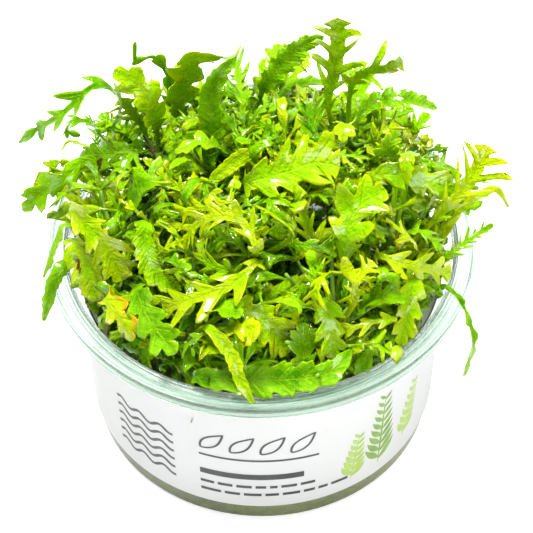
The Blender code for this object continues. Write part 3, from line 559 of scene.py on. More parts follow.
@dataclass
class LeafShape:
    """A blade with its petiole, as a closed thin mesh along a spine.

    Args:
        spine: line that it follows.
        start: share of the line before the blade starts.
        width: width of the blade.
        outline: its outline.
        lobing: edges that are lobed.
        tone: colour from 0 to 1.
        draws: seeded source of its small differences.
        fine: whether it has the rings and columns of a large leaf.
        petiole: half width of its petiole.
        marks: its spots.
        fine_rows: rings of one lobe of a large leaf.
    """
    spine: Spine
    start: float
    width: float
    outline: Outline
    lobing: Lobing
    tone: float
    draws: random.Random
    fine: bool = True
    petiole: float = PETIOLE_HALF_WIDTH
    marks: tuple = ()
    fine_rows: int = 16

    fine_columns = (0.0, 0.34, 0.66, 0.88, 1.0)
    plain_columns = (0.0, 0.55, 1.0)
    fine_ends = (0.0, 0.15, 0.3, 0.45, 0.6, 0.75, 0.88, 0.96, 1.0)
    plain_ends = (0.0, 0.3, 0.6, 0.88, 1.0)
    middle_thickness = 0.22
    edge_thickness = 0.10
    petiole_thickness = 0.48

    def envelope(self, place: np.ndarray) -> np.ndarray:
        """Share of the full width that the blade has.

        Args:
            place: places from 0, the blade's foot, to 1, its tip.

        Returns:
            Shares of the full width.
        """
        form = self.outline
        rise = 0.2 + 0.8 * np.sin(0.5 * np.pi * np.clip(place / form.widest, 0.0, 1.0))
        fall = np.cos(0.5 * np.pi * np.clip((place - form.widest) / (1.0 - form.widest), 0.0, 1.0))
        beyond = form.tip + (1.0 - form.tip) * np.maximum(fall, 0.0) ** 0.8
        return np.where(place < form.widest, rise, beyond)

    def lobe_steps(self) -> np.ndarray:
        """Places of the rings in one lobe.

        Returns:
            Shares of the lobe, closer together at the sides of a plain leaf's lobe.
        """
        if self.fine:
            return np.arange(self.fine_rows) / self.fine_rows
        width = self.outline.finger
        gaps = np.array([-1.0] + [share * width for share in (-1.02, -0.9, -0.5, 0.0, 0.5, 0.9, 1.02)])
        gaps = np.clip(gaps, -1.0, 0.999)
        return np.where(gaps < 0.0, Edge.crest * (1.0 + gaps), Edge.crest + (1.0 - Edge.crest) * gaps)

    def rows(self) -> np.ndarray:
        """Places of the rings, as shares of the whole spine.

        Returns:
            The shares, closer together at the tip.
        """
        lobes = self.outline.lobes
        steps = self.lobe_steps()
        places = Edge.end_start * np.concatenate([(lobe + steps) / lobes for lobe in range(lobes)])
        shares = np.array(self.fine_ends if self.fine else self.plain_ends)
        ends = Edge.end_start + (1.0 - Edge.end_start) * shares
        petiole = np.linspace(0.0, self.start, 7 if self.fine else 4, endpoint=False)
        places = np.unique(np.concatenate([places, ends]))
        return np.concatenate([petiole, self.start + (1.0 - self.start) * places])

    def half_width(self, edge: Edge, place: np.ndarray, blade: np.ndarray, share: np.ndarray) -> np.ndarray:
        """Half width of one edge at each ring.

        Args:
            edge: the edge.
            place: places on the blade.
            blade: whether each ring is on the blade.
            share: how far the edge reaches.

        Returns:
            Half widths, in millimetres.
        """
        lobes = self.outline.lobes
        tooth = 1.0 + 0.06 * np.sin(2.0 * np.pi * lobes * 2.6 * place + edge.phase)
        half = 0.5 * self.width * self.envelope(place) * share * tooth
        flare = np.clip(place * lobes * 1.6, 0.0, 1.0)
        close = np.where(place > 0.97, np.sqrt(np.maximum(1.0 - place, 0.0) / 0.03), 1.0)
        narrow = np.minimum(self.petiole, 0.12 * self.width + 0.2) * close
        half = np.maximum(half * flare + self.petiole * (1.0 - flare), narrow)
        return np.where(blade, half, self.petiole)

    def patch(self) -> Patch:
        """The leaf's mesh.

        Returns:
            A closed patch.
        """
        along = self.rows()
        centres, tangents, sides, faces = self.spine.at(along)
        place = np.clip((along - self.start) / (1.0 - self.start), 0.0, 1.0)
        blade = along >= self.start
        room = 0.7 * (1.0 - along) * self.spine.length
        opened = np.clip((along - 0.7 * self.start) / max(0.3 * self.start, 0.02), 0.0, 1.0)
        fold = math.radians(FOLD) * opened
        waves = self.draws.uniform(0.5, 0.9) * self.outline.lobes
        droop = self.draws.uniform(-0.05, 0.25)
        stalk = self.petiole_thickness * self.petiole / PETIOLE_HALF_WIDTH
        thick = np.where(blade, self.middle_thickness, stalk)
        thick = thick * np.where(place > 0.9, 1.0 - 6.0 * (place - 0.9), 1.0)
        columns = self.fine_columns if self.fine else self.plain_columns
        stagger = 0.4 if self.fine else 0.0
        upper = {}
        lower = {}
        for sign, side in ((-1.0, Lobing.LEFT), (1.0, Lobing.RIGHT)):
            edge = Edge(self.outline, self.lobing in (Lobing.BOTH, side), self.draws, stagger)
            share, bend = edge.share(place)
            half = self.half_width(edge, place, blade, share)
            sway = np.sin(2.0 * np.pi * waves * place + edge.phase)
            for column in columns:
                wave = self.outline.ripple * half * column ** 2 * sway
                fall = (droop - bend) * half * column ** 2.5
                rise = np.sin(fold) * half * column ** 1.25 + np.where(blade, wave - fall, 0.0)
                reach = np.cos(fold) * half * column * sign
                forward = np.minimum(self.outline.lean * half, room) * column * blade
                base = centres + sides * reach[:, None] + faces * rise[:, None] + tangents * forward[:, None]
                body = (1.0 - column ** 2) * thick + self.edge_thickness * math.sqrt(1.0 - column)
                upper[sign * column] = base + faces * body[:, None]
                lower[sign * column] = base - faces * body[:, None]
        order = sorted(upper)
        under = order[-2:0:-1]
        points = np.stack([upper[key] for key in order] + [lower[key] for key in under], axis=1)
        rows, count, _ = points.shape
        across = np.array(order + under)
        down = place[:, None]
        uv = np.zeros((rows, count, 2))
        uv[:, :, 0] = 0.5 + 0.5 * across
        uv[:, :, 1] = down
        # Painted light and shade: each leaf is darker towards its foot and down its middle, as if shaded, and
        # lighter towards its edges, as if lit through.
        tone = np.full((rows, count), self.tone) + 0.14 * (down - 0.5)
        tone += 0.26 * np.abs(across) ** 1.5 - 0.12
        wither = np.zeros((rows, count))
        for mark in self.marks:
            far = ((down - mark.along) / mark.long) ** 2 + ((across - mark.across) / mark.wide) ** 2
            wither += mark.brown * np.exp(-far)
            tone += mark.amber * np.exp(-far)
        veins = np.full((rows, count), float(self.outline.lobes))
        return Patch(points.reshape(-1, 3), tube_faces(rows, count), uv.reshape(-1, 2), tone.reshape(-1),
                     wither.reshape(-1), veins.reshape(-1))


def patched_mesh(name: str, patches: list, finishes: list) -> bpy.types.Object:
    """Join patches in one object.

    Args:
        name: its name.
        patches: the patches.
        finishes: its materials, in the order of the patches' finish numbers.

    Returns:
        The object, linked to the scene.
    """
    points, faces = joined([(patch.points, patch.faces) for patch in patches])
    mesh = bpy.data.meshes.new(name)
    mesh.from_pydata((np.array(points) * MM).tolist(), [], faces)
    for finish in finishes:
        mesh.materials.append(finish)
    mesh.polygons.foreach_set("material_index", [patch.finish for patch in patches for _ in patch.faces])
    corners = np.zeros(len(mesh.loops), np.int32)
    mesh.loops.foreach_get("vertex_index", corners)
    uv = np.concatenate([patch.uv for patch in patches])[corners]
    mesh.uv_layers.new(name="UVMap").data.foreach_set("uv", uv.astype(np.float32).ravel())
    for label in ("tone", "wither", "veins"):
        values = np.concatenate([getattr(patch, label) for patch in patches])
        mesh.attributes.new(label, "FLOAT", "POINT").data.foreach_set("value", values.astype(np.float32))
    mesh.shade_smooth()
    return linked(mesh)


class Sheet:
    """A node tree with short ways to add and join its nodes."""

    def __init__(self, tree: bpy.types.NodeTree) -> None:
        """Take a tree that is being filled."""
        self.tree = tree

    def node(self, kind: str, **settings: object) -> bpy.types.Node:
        """Add a node.

        Args:
            kind: Blender's name for the node's type.
            settings: attributes to set on it.

        Returns:
            The node.
        """
        made = self.tree.nodes.new(kind)
        for key, value in settings.items():
            setattr(made, key, value)
        return made

    def feed(self, target: bpy.types.NodeSocket, value: object) -> None:
        """Set an input to a value, or link it to an output.

        Args:
            target: the input.
            value: the value or the output.
        """
        if isinstance(value, bpy.types.NodeSocket):
            self.tree.links.new(value, target)
        else:
            target.default_value = value

    def math(self, operation: str, *values: object, clamp: bool = False) -> bpy.types.NodeSocket:
        """Add a Math node.

        Args:
            operation: its operation.
            values: its inputs, as numbers or sockets.
            clamp: whether the result stays from 0 to 1.

        Returns:
            Its output.
        """
        made = self.node("ShaderNodeMath", operation=operation, use_clamp=clamp)
        for socket, value in zip(made.inputs, values):
            self.feed(socket, value)
        return made.outputs[0]

    def plus(self, first: object, second: object) -> bpy.types.NodeSocket:
        """Sum of two numbers or sockets."""
        return self.math("ADD", first, second)

    def minus(self, first: object, second: object) -> bpy.types.NodeSocket:
        """Difference of two numbers or sockets."""
        return self.math("SUBTRACT", first, second)

    def times(self, first: object, second: object) -> bpy.types.NodeSocket:
        """Product of two numbers or sockets."""
        return self.math("MULTIPLY", first, second)

    def step(self, value: object, low: float, high: float) -> bpy.types.NodeSocket:
        """Smooth step of a value.

        Args:
            value: number or socket.
            low: value that gives 0.
            high: value that gives 1.

        Returns:
            The step.
        """
        made = self.node("ShaderNodeMapRange", interpolation_type="SMOOTHSTEP")
        for label, given in (("Value", value), ("From Min", low), ("From Max", high)):
            self.feed(made.inputs[label], given)
        return made.outputs["Result"]

    def lines(self, value: object, half: float) -> bpy.types.NodeSocket:
        """Thin soft lines, one in the middle of each whole step of a value.

        Args:
            value: number or socket.
            half: half width of a line.

        Returns:
            1 on a line, and 0 between the lines.
        """
        offset = self.math("ABSOLUTE", self.minus(self.math("FRACT", value), 0.5))
        return self.step(offset, half, 0.02)

    def mix(self, share: object, first: object, second: object) -> bpy.types.NodeSocket:
        """Mix two colours.

        Args:
            share: share of the second, as a number or a socket.
            first: colour or socket.
            second: colour or socket.

        Returns:
            The mixed colour.
        """
        made = self.node("ShaderNodeMix", data_type="RGBA")
        for label, given in (("Factor", share), ("A", first), ("B", second)):
            self.feed(made.inputs[label], given)
        return made.outputs["Result"]

    def noise(self, scale: object, detail: float, vector: bpy.types.NodeSocket) -> bpy.types.NodeSocket:
        """Noise value of a place.

        Args:
            scale: cycles a metre.
            detail: octaves.
            vector: where it is read.

        Returns:
            A value from 0 to 1.
        """
        made = self.node("ShaderNodeTexNoise")
        for label, given in (("Scale", scale), ("Detail", detail), ("Vector", vector)):
            self.feed(made.inputs[label], given)
        return made.outputs["Fac"]


def new_group(name: str, inputs: dict, outputs: tuple) -> tuple:
    """Start a shader node group whose inputs and outputs are plain values.

    Args:
        name: its name.
        inputs: default of each input, by its name.
        outputs: names of its outputs.

    Returns:
        Its sheet, the sockets of its inputs and those of its outputs.
    """
    group = bpy.data.node_groups.new(name, "ShaderNodeTree")
    for label, default in inputs.items():
        socket = group.interface.new_socket(label, in_out="INPUT", socket_type="NodeSocketFloat")
        socket.default_value = default
    for label in outputs:
        group.interface.new_socket(label, in_out="OUTPUT", socket_type="NodeSocketFloat")
    sheet = Sheet(group)
    return sheet, sheet.node("NodeGroupInput").outputs, sheet.node("NodeGroupOutput").inputs


class Effects:
    """Shader node groups that the materials share."""

    def __init__(self) -> None:
        """Build every group once."""
        self.cloud = self.make_cloud()
        self.veins = self.make_veins()
        self.moisture = self.make_moisture()

    def make_cloud(self) -> bpy.types.NodeTree:
        """Soft uneven patches, coarse and fine.

        Returns:
            The group.
        """
        sheet, given, result = new_group("cloud", {"Scale": 120.0, "Contrast": 1.0}, ("Value", "Fine"))
        place = sheet.node("ShaderNodeTexCoord").outputs["Object"]
        coarse = sheet.noise(given["Scale"], 3.0, place)
        spread = sheet.times(sheet.minus(coarse, 0.5), given["Contrast"])
        sheet.feed(result["Value"], sheet.math("ADD", spread, 0.5, clamp=True))
        sheet.feed(result["Fine"], sheet.noise(sheet.times(given["Scale"], 9.0), 4.0, place))
        return sheet.tree

    def make_veins(self) -> bpy.types.NodeTree:
        """Midrib, side veins, the edge band of a painted backlit glow, and fine pleats of a leaf, from its
        own UV.

        Returns:
            The group.
        """
        sheet, given, result = new_group("leaf_veins", {"Count": 4.0}, ("Vein", "Edge", "Height"))
        split = sheet.node("ShaderNodeSeparateXYZ")
        sheet.feed(split.inputs["Vector"], sheet.node("ShaderNodeUVMap", uv_map="UVMap").outputs["UV"])
        across = sheet.times(sheet.math("ABSOLUTE", sheet.minus(split.outputs["X"], 0.5)), 2.0)
        turn = sheet.minus(sheet.times(split.outputs["Y"], given["Count"]), sheet.times(across, 0.25))
        side = sheet.lines(sheet.plus(turn, 0.65), 0.09)
        fine = sheet.times(sheet.lines(sheet.times(sheet.plus(turn, 0.15), 3.0), 0.10), 0.35)
        side_veins = sheet.times(sheet.math("MAXIMUM", side, fine), sheet.step(across, 1.0, 0.5))
        vein = sheet.math("MAXIMUM", sheet.step(across, 0.10, 0.02), side_veins)
        bulge = sheet.times(sheet.math("SINE", sheet.times(turn, 18.85)), 0.3)
        pleat = sheet.math("SINE", sheet.plus(sheet.times(split.outputs["X"], 28.0), bulge))
        sheet.feed(result["Vein"], vein)
        sheet.feed(result["Edge"], sheet.step(across, 0.86, 0.99))
        sheet.feed(result["Height"], sheet.minus(sheet.plus(bulge, sheet.times(pleat, 0.16)), vein))
        return sheet.tree

    def make_moisture(self) -> bpy.types.NodeTree:
        """Small beads and films of moisture.

        Returns:
            The group.
        """
        sheet, given, result = new_group("moisture", {"Scale": 400.0, "Amount": 0.5}, ("Height",))
        place = sheet.node("ShaderNodeTexCoord").outputs["Object"]
        cells = sheet.node("ShaderNodeTexVoronoi", feature="SMOOTH_F1")
        sheet.feed(cells.inputs["Vector"], place)
        sheet.feed(cells.inputs["Scale"], given["Scale"])
        wet = sheet.step(sheet.noise(sheet.times(given["Scale"], 0.25), 2.0, place), 0.50, 0.62)
        bead = sheet.step(cells.outputs["Distance"], 0.42, 0.05)
        sheet.feed(result["Height"], sheet.times(sheet.times(bead, wet), given["Amount"]))
        return sheet.tree


class Finish(Sheet):
    """A material made round its Principled shader, which each kind of finish dresses in its own way."""
    name: str

    def __init__(self, effects: Effects) -> None:
        """Make the material.

        Args:
            effects: the shared node groups.
        """
        self.material = bpy.data.materials.new(self.name)
        self.material.use_nodes = True
        super().__init__(self.material.node_tree)
        self.shader = self.tree.nodes["Principled BSDF"]
        self.effects = effects
        self.dress()

    def dress(self) -> None:
        """Set the shader's inputs."""
        raise NotImplementedError

    def put(self, label: str, value: object) -> None:
        """Set an input of the shader to a value, or link it to an output."""
        self.feed(self.shader.inputs[label], value)

    def held(self, label: str) -> bpy.types.NodeSocket:
        """Value that the mesh holds for each of its points."""
        return self.node("ShaderNodeAttribute", attribute_name=label).outputs["Fac"]

    def group(self, group: bpy.types.NodeTree, **values: object) -> bpy.types.bpy_prop_collection:
        """Place one of the shared groups.

        Args:
            group: the group.
            values: its inputs by name.

        Returns:
            Its outputs.
        """
        made = self.node("ShaderNodeGroup", node_tree=group)
        for label, value in values.items():
            self.feed(made.inputs[label], value)
        return made.outputs

    def uneven(self, base: object, value: bpy.types.NodeSocket, reach: float) -> bpy.types.NodeSocket:
        """A number with part of a value added to it."""
        return self.plus(base, self.times(value, reach))

    def spread_light(self, share: float, reach: tuple, depth: float) -> None:
        """Let light spread under the surface.

        Args:
            share: share of the light that does.
            reach: how far each colour spreads, over the depth.
            depth: the depth, in metres.
        """
        self.put("Subsurface Weight", share)
        self.put("Subsurface Radius", reach)
        self.put("Subsurface Scale", depth)

    def pass_light(self, share: float) -> None:
        """Let a share of the light through where the surface casts a shadow."""
        shadow = self.node("ShaderNodeLightPath").outputs["Is Shadow Ray"]
        self.put("Alpha", self.minus(1.0, self.times(shadow, share)))

    def relief(self, height: bpy.types.NodeSocket, strength: float, depth: float) -> None:
        """Raise the surface, over the relief that it has already.

        Args:
            height: the height.
            strength: share of it that shows.
            depth: how high a height of 1 stands, in metres.
        """
        bump = self.node("ShaderNodeBump")
        for label, value in (("Strength", strength), ("Distance", depth), ("Height", height)):
            self.feed(bump.inputs[label], value)
        under = self.shader.inputs["Normal"]
        if under.is_linked:
            self.feed(bump.inputs["Normal"], under.links[0].from_socket)
        self.put("Normal", bump.outputs["Normal"])


class LeafFinish(Finish):
    """Moist green leaf with veins, a painted backlit glow along its edge and brown where it withers.

    Attributes:
        name: its name.
        deep: colour at tone 0.
        middle: colour at tone 0.5.
        bright: colour at tone 1.
        vein: colour of the veins.
        edge: colour of the painted backlit glow along the edge.
        amber: colour of its yellowed edge.
        brown: colour where it withers.
        roughness: least roughness.
    """
    name: str = "leaf_green"
    deep: tuple = (0.025, 0.170, 0.000, 1.0)
    middle: tuple = (0.190, 0.455, 0.000, 1.0)
    bright: tuple = (0.395, 0.520, 0.000, 1.0)
    vein: tuple = (0.380, 0.540, 0.005, 1.0)
    edge: tuple = (0.410, 0.550, 0.000, 1.0)
    amber: tuple = (0.800, 0.360, 0.005, 1.0)
    brown: tuple = (0.085, 0.030, 0.006, 1.0)
    roughness: float = 0.24

    def dress(self) -> None:
        """Set the leaf's colours, its gloss and its relief."""
        veins = self.group(self.effects.veins, Count=self.held("veins"))
        cloud = self.group(self.effects.cloud, Scale=230.0, Contrast=1.6)
        beads = self.group(self.effects.moisture, Scale=620.0, Amount=0.8)
        tone = self.plus(self.held("tone"), self.times(self.minus(cloud["Value"], 0.5), 0.5))
        colour = self.mix(self.step(tone, 0.0, 0.5), self.deep, self.middle)
        colour = self.mix(self.step(tone, 0.45, 1.0), colour, self.bright)
        colour = self.mix(self.times(veins["Vein"], 0.18), colour, self.vein)
        # Painted light: the edge band is lightened as if light shone through it from behind.
        colour = self.mix(self.times(veins["Edge"], 0.35), colour, self.edge)
        colour = self.mix(self.step(tone, 1.15, 1.7), colour, self.amber)
        ragged = self.plus(self.held("wither"), self.times(self.minus(cloud["Fine"], 0.5), 0.6))
        self.put("Base Color", self.mix(self.step(ragged, 0.38, 0.62), colour, self.brown))
        self.put("Roughness", self.uneven(self.roughness, cloud["Fine"], 0.16))
        self.put("Specular IOR Level", 0.3)
        self.put("Specular Tint", (0.9, 1.0, 0.1, 1.0))
        self.put("Coat Weight", self.step(cloud["Value"], 0.44, 0.56))
        self.put("Coat IOR", 1.55)
        self.put("Coat Roughness", 0.13)
        self.spread_light(0.22, (0.45, 1.0, 0.05), 0.0008)
        swells = self.plus(self.times(cloud["Value"], 3.0), cloud["Fine"])
        self.relief(self.plus(self.times(veins["Height"], 0.45), swells), 0.8, 0.00042)
        self.relief(beads["Height"], 0.8, 0.00022)


class StemFinish(Finish):
    """Moist green stem, brown where it withers.

    Attributes:
        name: its name.
        green: colour of the stem.
        pale: colour of its lighter streaks.
        brown: colour where it withers.
    """
    name: str = "green_stem"
    green: tuple = (0.10, 0.26, 0.012, 1.0)
    pale: tuple = (0.30, 0.50, 0.05, 1.0)
    brown: tuple = (0.055, 0.030, 0.008, 1.0)

    def dress(self) -> None:
        """Set the stem's streaks and its fine bark."""
        cloud = self.group(self.effects.cloud, Scale=420.0, Contrast=1.8)
        streaks = self.mix(cloud["Value"], self.green, self.pale)
        self.put("Base Color", self.mix(self.held("wither"), streaks, self.brown))
        self.put("Roughness", self.uneven(0.3, cloud["Fine"], 0.2))
        self.spread_light(0.2, (0.5, 1.0, 0.1), 0.001)
        self.relief(cloud["Fine"], 0.5, 0.0002)


class ClearPlasticFinish(Finish):
    """Clear moulded plastic with a faint sea-green tint and a little moisture.

    Attributes:
        name: its name.
        tint: colour of the plastic.
        flange: its deeper colour at the flange.
        index: index of refraction.
        roughness: least roughness.
        passing: share of light that passes where it casts a shadow.
    """
    name: str = "clear_plastic"
    tint: tuple = (0.86, 0.95, 0.90, 1.0)
    flange: tuple = (0.62, 0.78, 0.67, 1.0)
    index: float = 1.42
    roughness: float = 0.11
    passing: float = 0.85

    def dress(self) -> None:
        """Set the plastic's tint, its clearness and its moist skin."""
        cloud = self.group(self.effects.cloud, Scale=160.0, Contrast=1.2)
        beads = self.group(self.effects.moisture, Scale=300.0, Amount=1.0)
        rim = self.held("flange")
        self.put("Base Color", self.mix(rim, self.tint, self.flange))
        self.put("IOR", self.index)
        self.put("Transmission Weight", 0.94)
        wall_rough = self.uneven(self.roughness, cloud["Value"], 0.05)
        self.put("Roughness", self.uneven(wall_rough, rim, 0.10))
        self.pass_light(self.passing)
        self.relief(self.uneven(beads["Height"], cloud["Value"], 0.2), 0.2, 0.00006)


class LabelFinish(Finish):
    """Satin white label film with a faint fibre, and painted shade where it turns away at the sides.

    Attributes:
        name: its name.
        white: its colour.
        shade: colour of its faint unevenness.
        turned: colour of the painted shade where it turns from the eye.
        passing: share of light that passes where it casts a shadow.
    """
    name: str = "label_film"
    white: tuple = (0.775, 0.78, 0.775, 1.0)
    shade: tuple = (0.75, 0.755, 0.755, 1.0)
    turned: tuple = (0.58, 0.59, 0.58, 1.0)
    passing: float = 0.85

    def dress(self) -> None:
        """Set the film's white, its painted side shade, its satin gloss and its fibre."""
        cloud = self.group(self.effects.cloud, Scale=90.0, Contrast=1.0)
        paper = self.mix(cloud["Value"], self.white, self.shade)
        # Painted shade: the film is darkened where it turns away from the eye, towards its sides.
        facing = self.node("ShaderNodeLayerWeight")
        facing.inputs["Blend"].default_value = 0.5
        painted_side_shade = self.step(facing.outputs["Facing"], 0.45, 0.95)
        self.put("Base Color", self.mix(painted_side_shade, paper, self.turned))
        self.pass_light(self.passing)
        self.put("Roughness", self.uneven(0.34, cloud["Fine"], 0.12))
        self.spread_light(0.6, (1.0, 1.0, 1.0), 0.002)
        self.relief(cloud["Fine"], 0.12, 0.0001)


class InkFinish(Finish):
    """Printed ink, a little uneven."""

    def __init__(self, effects: Effects, name: str, full: tuple, thin: tuple) -> None:
        """Make the material.

        Args:
            effects: the shared node groups.
            name: its name.
            full: colour where the ink is thick.
            thin: colour where it is thin.
        """
        self.name = name
        self.full = full
        self.thin = thin
        super().__init__(effects)

    def dress(self) -> None:
        """Set the ink's colours and its gloss."""
        cloud = self.group(self.effects.cloud, Scale=420.0, Contrast=1.6)
        self.put("Base Color", self.mix(cloud["Value"], self.full, self.thin))
        self.put("Roughness", self.uneven(0.38, cloud["Fine"], 0.12))


class GelFinish(Finish):
    """Cloudy olive culture gel with a moist skin.

    Attributes:
        name: its name.
        olive: its colour.
        pale: colour of its paler clouds.
    """
    name: str = "olive_gel"
    olive: tuple = (0.155, 0.180, 0.032, 1.0)
    pale: tuple = (0.260, 0.285, 0.062, 1.0)

    def dress(self) -> None:
        """Set the gel's clouds and its moist skin."""
        cloud = self.group(self.effects.cloud, Scale=45.0, Contrast=2.2)
        beads = self.group(self.effects.moisture, Scale=160.0, Amount=0.6)
        self.put("Base Color", self.mix(cloud["Value"], self.olive, self.pale))
        self.put("Roughness", self.uneven(0.2, cloud["Fine"], 0.15))
        self.spread_light(0.4, (1.0, 1.0, 0.4), 0.003)
        self.relief(beads["Height"], 0.4, 0.0004)


class FloorFinish(Finish):
    """Plain pale studio floor that glows a little, as a lit sweep does.

    Attributes:
        name: its name.
        pale: its colour.
        shade: colour of its faint unevenness.
        glow: strength of its own light.
    """
    name: str = "studio_floor"
    pale: tuple = (0.90, 0.90, 0.90, 1.0)
    shade: tuple = (0.87, 0.87, 0.87, 1.0)
    glow: float = 0.65

    def dress(self) -> None:
        """Set the floor's colour and its glow."""
        cloud = self.group(self.effects.cloud, Scale=6.0, Contrast=1.0)
        self.put("Base Color", self.mix(cloud["Value"], self.pale, self.shade))
        self.put("Roughness", 0.9)
        self.put("Emission Color", self.pale)
        seen = self.node("ShaderNodeLightPath").outputs["Is Camera Ray"]
        self.put("Emission Strength", self.times(seen, self.glow))


def circle(steps: int) -> list:
    """Cosine and sine of each step round a full turn."""
    return [(math.cos(math.tau * step / steps), math.sin(math.tau * step / steps)) for step in range(steps)]


def turned(profile: list, segments: int) -> tuple:
    """Turn a half section whose ends lie on the axis.

    Args:
        profile: radius and height of each point.
        segments: steps round the axis.

    Returns:
        Points and faces of the closed solid.
    """
    points = []
    rings = []
    for radius, height in profile:
        ring = circle(segments) if radius else [(0.0, 0.0)]
        rings.append(range(len(points), len(points) + len(ring)))
        points += [(radius * across, radius * along, height) for across, along in ring]
    faces = []
    for low, high in zip(rings, rings[1:]):
        for step in range(segments):
            after = (step + 1) % segments
            if len(low) == 1:
                faces.append((low[0], high[after], high[step]))
            elif len(high) == 1:
                faces.append((low[step], low[after], high[0]))
            else:
                faces.append((low[step], low[after], high[after], high[step]))
    return points, faces


def joined(solids: list) -> tuple:
    """Join solids in one mesh.

    Args:
        solids: points and faces of each.

    Returns:
        All their points and faces.
    """
    points = []
    faces = []
    for more_points, more_faces in solids:
        faces += [tuple(corner + len(points) for corner in face) for face in more_faces]
        points += list(more_points)
    return points, faces


def linked(mesh: bpy.types.Mesh) -> bpy.types.Object:
    """Put a finished mesh in the scene.

    Args:
        mesh: the mesh.

    Returns:
        Its object, of the same name.
    """
    mesh.validate()
    item = bpy.data.objects.new(mesh.name, mesh)
    bpy.context.scene.collection.objects.link(item)
    LOG.info("%s: %d faces", mesh.name, len(mesh.polygons))
    return item


def mesh_object(name: str, points: list, faces: list, finish: bpy.types.Material) -> bpy.types.Object:
    """Make a smooth-shaded object with sharp edges.

    Args:
        name: its name.
        points: corners, in millimetres.
        faces: corner numbers of each face.
        finish: its material.

    Returns:
        The object, linked to the scene.
    """
    mesh = bpy.data.meshes.new(name)
    mesh.from_pydata((np.array(points, float) * MM).tolist(), [], faces)
    mesh.materials.append(finish)
    mesh.shade_smooth()
    mesh.set_sharp_from_angle(angle=math.radians(SHARP_EDGE))
    return linked(mesh)


@dataclass
class Cup:
    """Clear moulded cup: wall, shoulder, flange, raised lip and skirt.

    Sizes are in millimetres and are those of the solid.
    """
    rim_radius: float = 50.0
    mouth_radius: float = 44.8
    base_radius: float = 40.4
    shoulder_radius: float = 42.6
    shoulder_height: float = 47.5
    shoulder_rise: float = 3.0
    height: float = 55.0
    wall: float = 0.8
    corner_wall: float = 0.45
    base_fillet: float = 2.6
    skirt_depth: float = 2.2
    lip_rise: float = 0.7
    lip_width: float = 1.8
    ridge_rise: float = 0.12
    segments: int = 192

    def wall_radius(self, height: float) -> float:
        """Outer radius of the wall at a height below the shoulder."""
        return self.base_radius + (self.shoulder_radius - self.base_radius) * height / self.shoulder_height

    def arc(self, centre: tuple, radius: float, first: float, last: float, steps: int) -> list:
        """Points of an arc in the half section.

        Args:
            centre: its centre.
            radius: its radius.
            first: first angle, in degrees.
            last: last angle, in degrees.
            steps: spans of the arc.

        Returns:
            The points.
        """
        points = []
        for step in range(steps + 1):
            angle = math.radians(first + (last - first) * step / steps)
            points.append((centre[0] + radius * math.cos(angle), centre[1] + radius * math.sin(angle)))
        return points

    def profile(self) -> list:
        """Half section, from the middle of the underside out, up, over the rim and back inside.

        Returns:
            Radius and height of each point.
        """
        fillet = self.base_fillet
        top = self.height
        under = top - self.wall
        low_skirt = top - self.skirt_depth
        high = top + self.lip_rise
        neck_foot = self.shoulder_height + self.shoulder_rise
        mouth = self.mouth_radius
        neck = mouth + self.wall
        rim = self.rim_radius
        skirt = rim - self.wall
        lip = rim - self.lip_width
        points = [(0.0, 0.15), (20.0, 0.12), (30.0, 0.0)]
        points += self.arc((self.base_radius - fillet, fillet), fillet, -90.0, 0.0, 8)
        heights = (12.0, 24.0, 36.0, self.shoulder_height - 0.6)
        points += [(self.wall_radius(height), height) for height in heights]
        points += self.arc((self.shoulder_radius + 0.6, self.shoulder_height - 0.3), 0.62, 170.0, 110.0, 4)
        points += self.arc((neck - 0.7, neck_foot + 0.1), 0.7, -40.0, 0.0, 4)
        points += [(neck, under - 0.3), (neck + 0.3, under), (skirt - 0.2, under), (skirt, under - 0.2)]
        points += [(skirt, low_skirt + 0.15), (skirt + 0.15, low_skirt)]
        points += [(rim - 0.15, low_skirt), (rim, low_skirt + 0.15)]
        points += self.arc((rim - 0.45, high - 0.45), 0.45, 0.0, 90.0, 6)
        points += self.arc((lip + 0.75, high - 0.45), 0.45, 90.0, 170.0, 5)
        points.append((lip, top + 0.02))
        for ridge in (0.28, 0.55, 0.80):
            middle = lip - ridge * (lip - mouth)
            points += [(middle + 0.25, top), (middle + 0.1, top + self.ridge_rise)]
            points += [(middle - 0.1, top + self.ridge_rise), (middle - 0.25, top)]
        points += [(mouth + 0.3, top), (mouth + 0.06, top - 0.12), (mouth, top - 0.4)]
        points += [(mouth, neck_foot + 0.2), (mouth - 0.3, neck_foot - 0.4)]
        points += [(self.shoulder_radius - self.wall + 0.2, self.shoulder_height + 0.3)]
        points += [(self.wall_radius(height) - self.wall, height) for height in (46.8, 36.0, 24.0, 12.0)]
        return points + self.gel_seat(self.corner_wall)

    def gel_seat(self, wall: float) -> list:
        """Half section of the inside at the base, from the wall to the middle of the floor.

        Args:
            wall: thickness of the plastic at the rounded corner.

        Returns:
            Radius and height of each point.
        """
        fillet = self.base_fillet
        points = [(self.wall_radius(7.0) - 0.7 * self.wall - 0.3 * wall, 7.0)]
        points += self.arc((self.base_radius - fillet, fillet), fillet - wall, 0.0, -90.0, 8)
        return points + [(30.0, wall + 0.05), (0.0, wall + 0.2)]

    def build(self, finish: bpy.types.Material) -> None:
        """Make the cup.

        Args:
            finish: its material.
        """
        points, faces = turned(self.profile(), self.segments)
        cup = mesh_object("clear_cup", points, faces, finish)
        share = [min(max((math.hypot(x, y) - self.mouth_radius - 0.3) / 0.5, 0.0), 1.0) for x, y, _ in points]
        cup.data.attributes.new("flange", "FLOAT", "POINT").data.foreach_set("value", share)
        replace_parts(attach(cup, "root"), "cup")


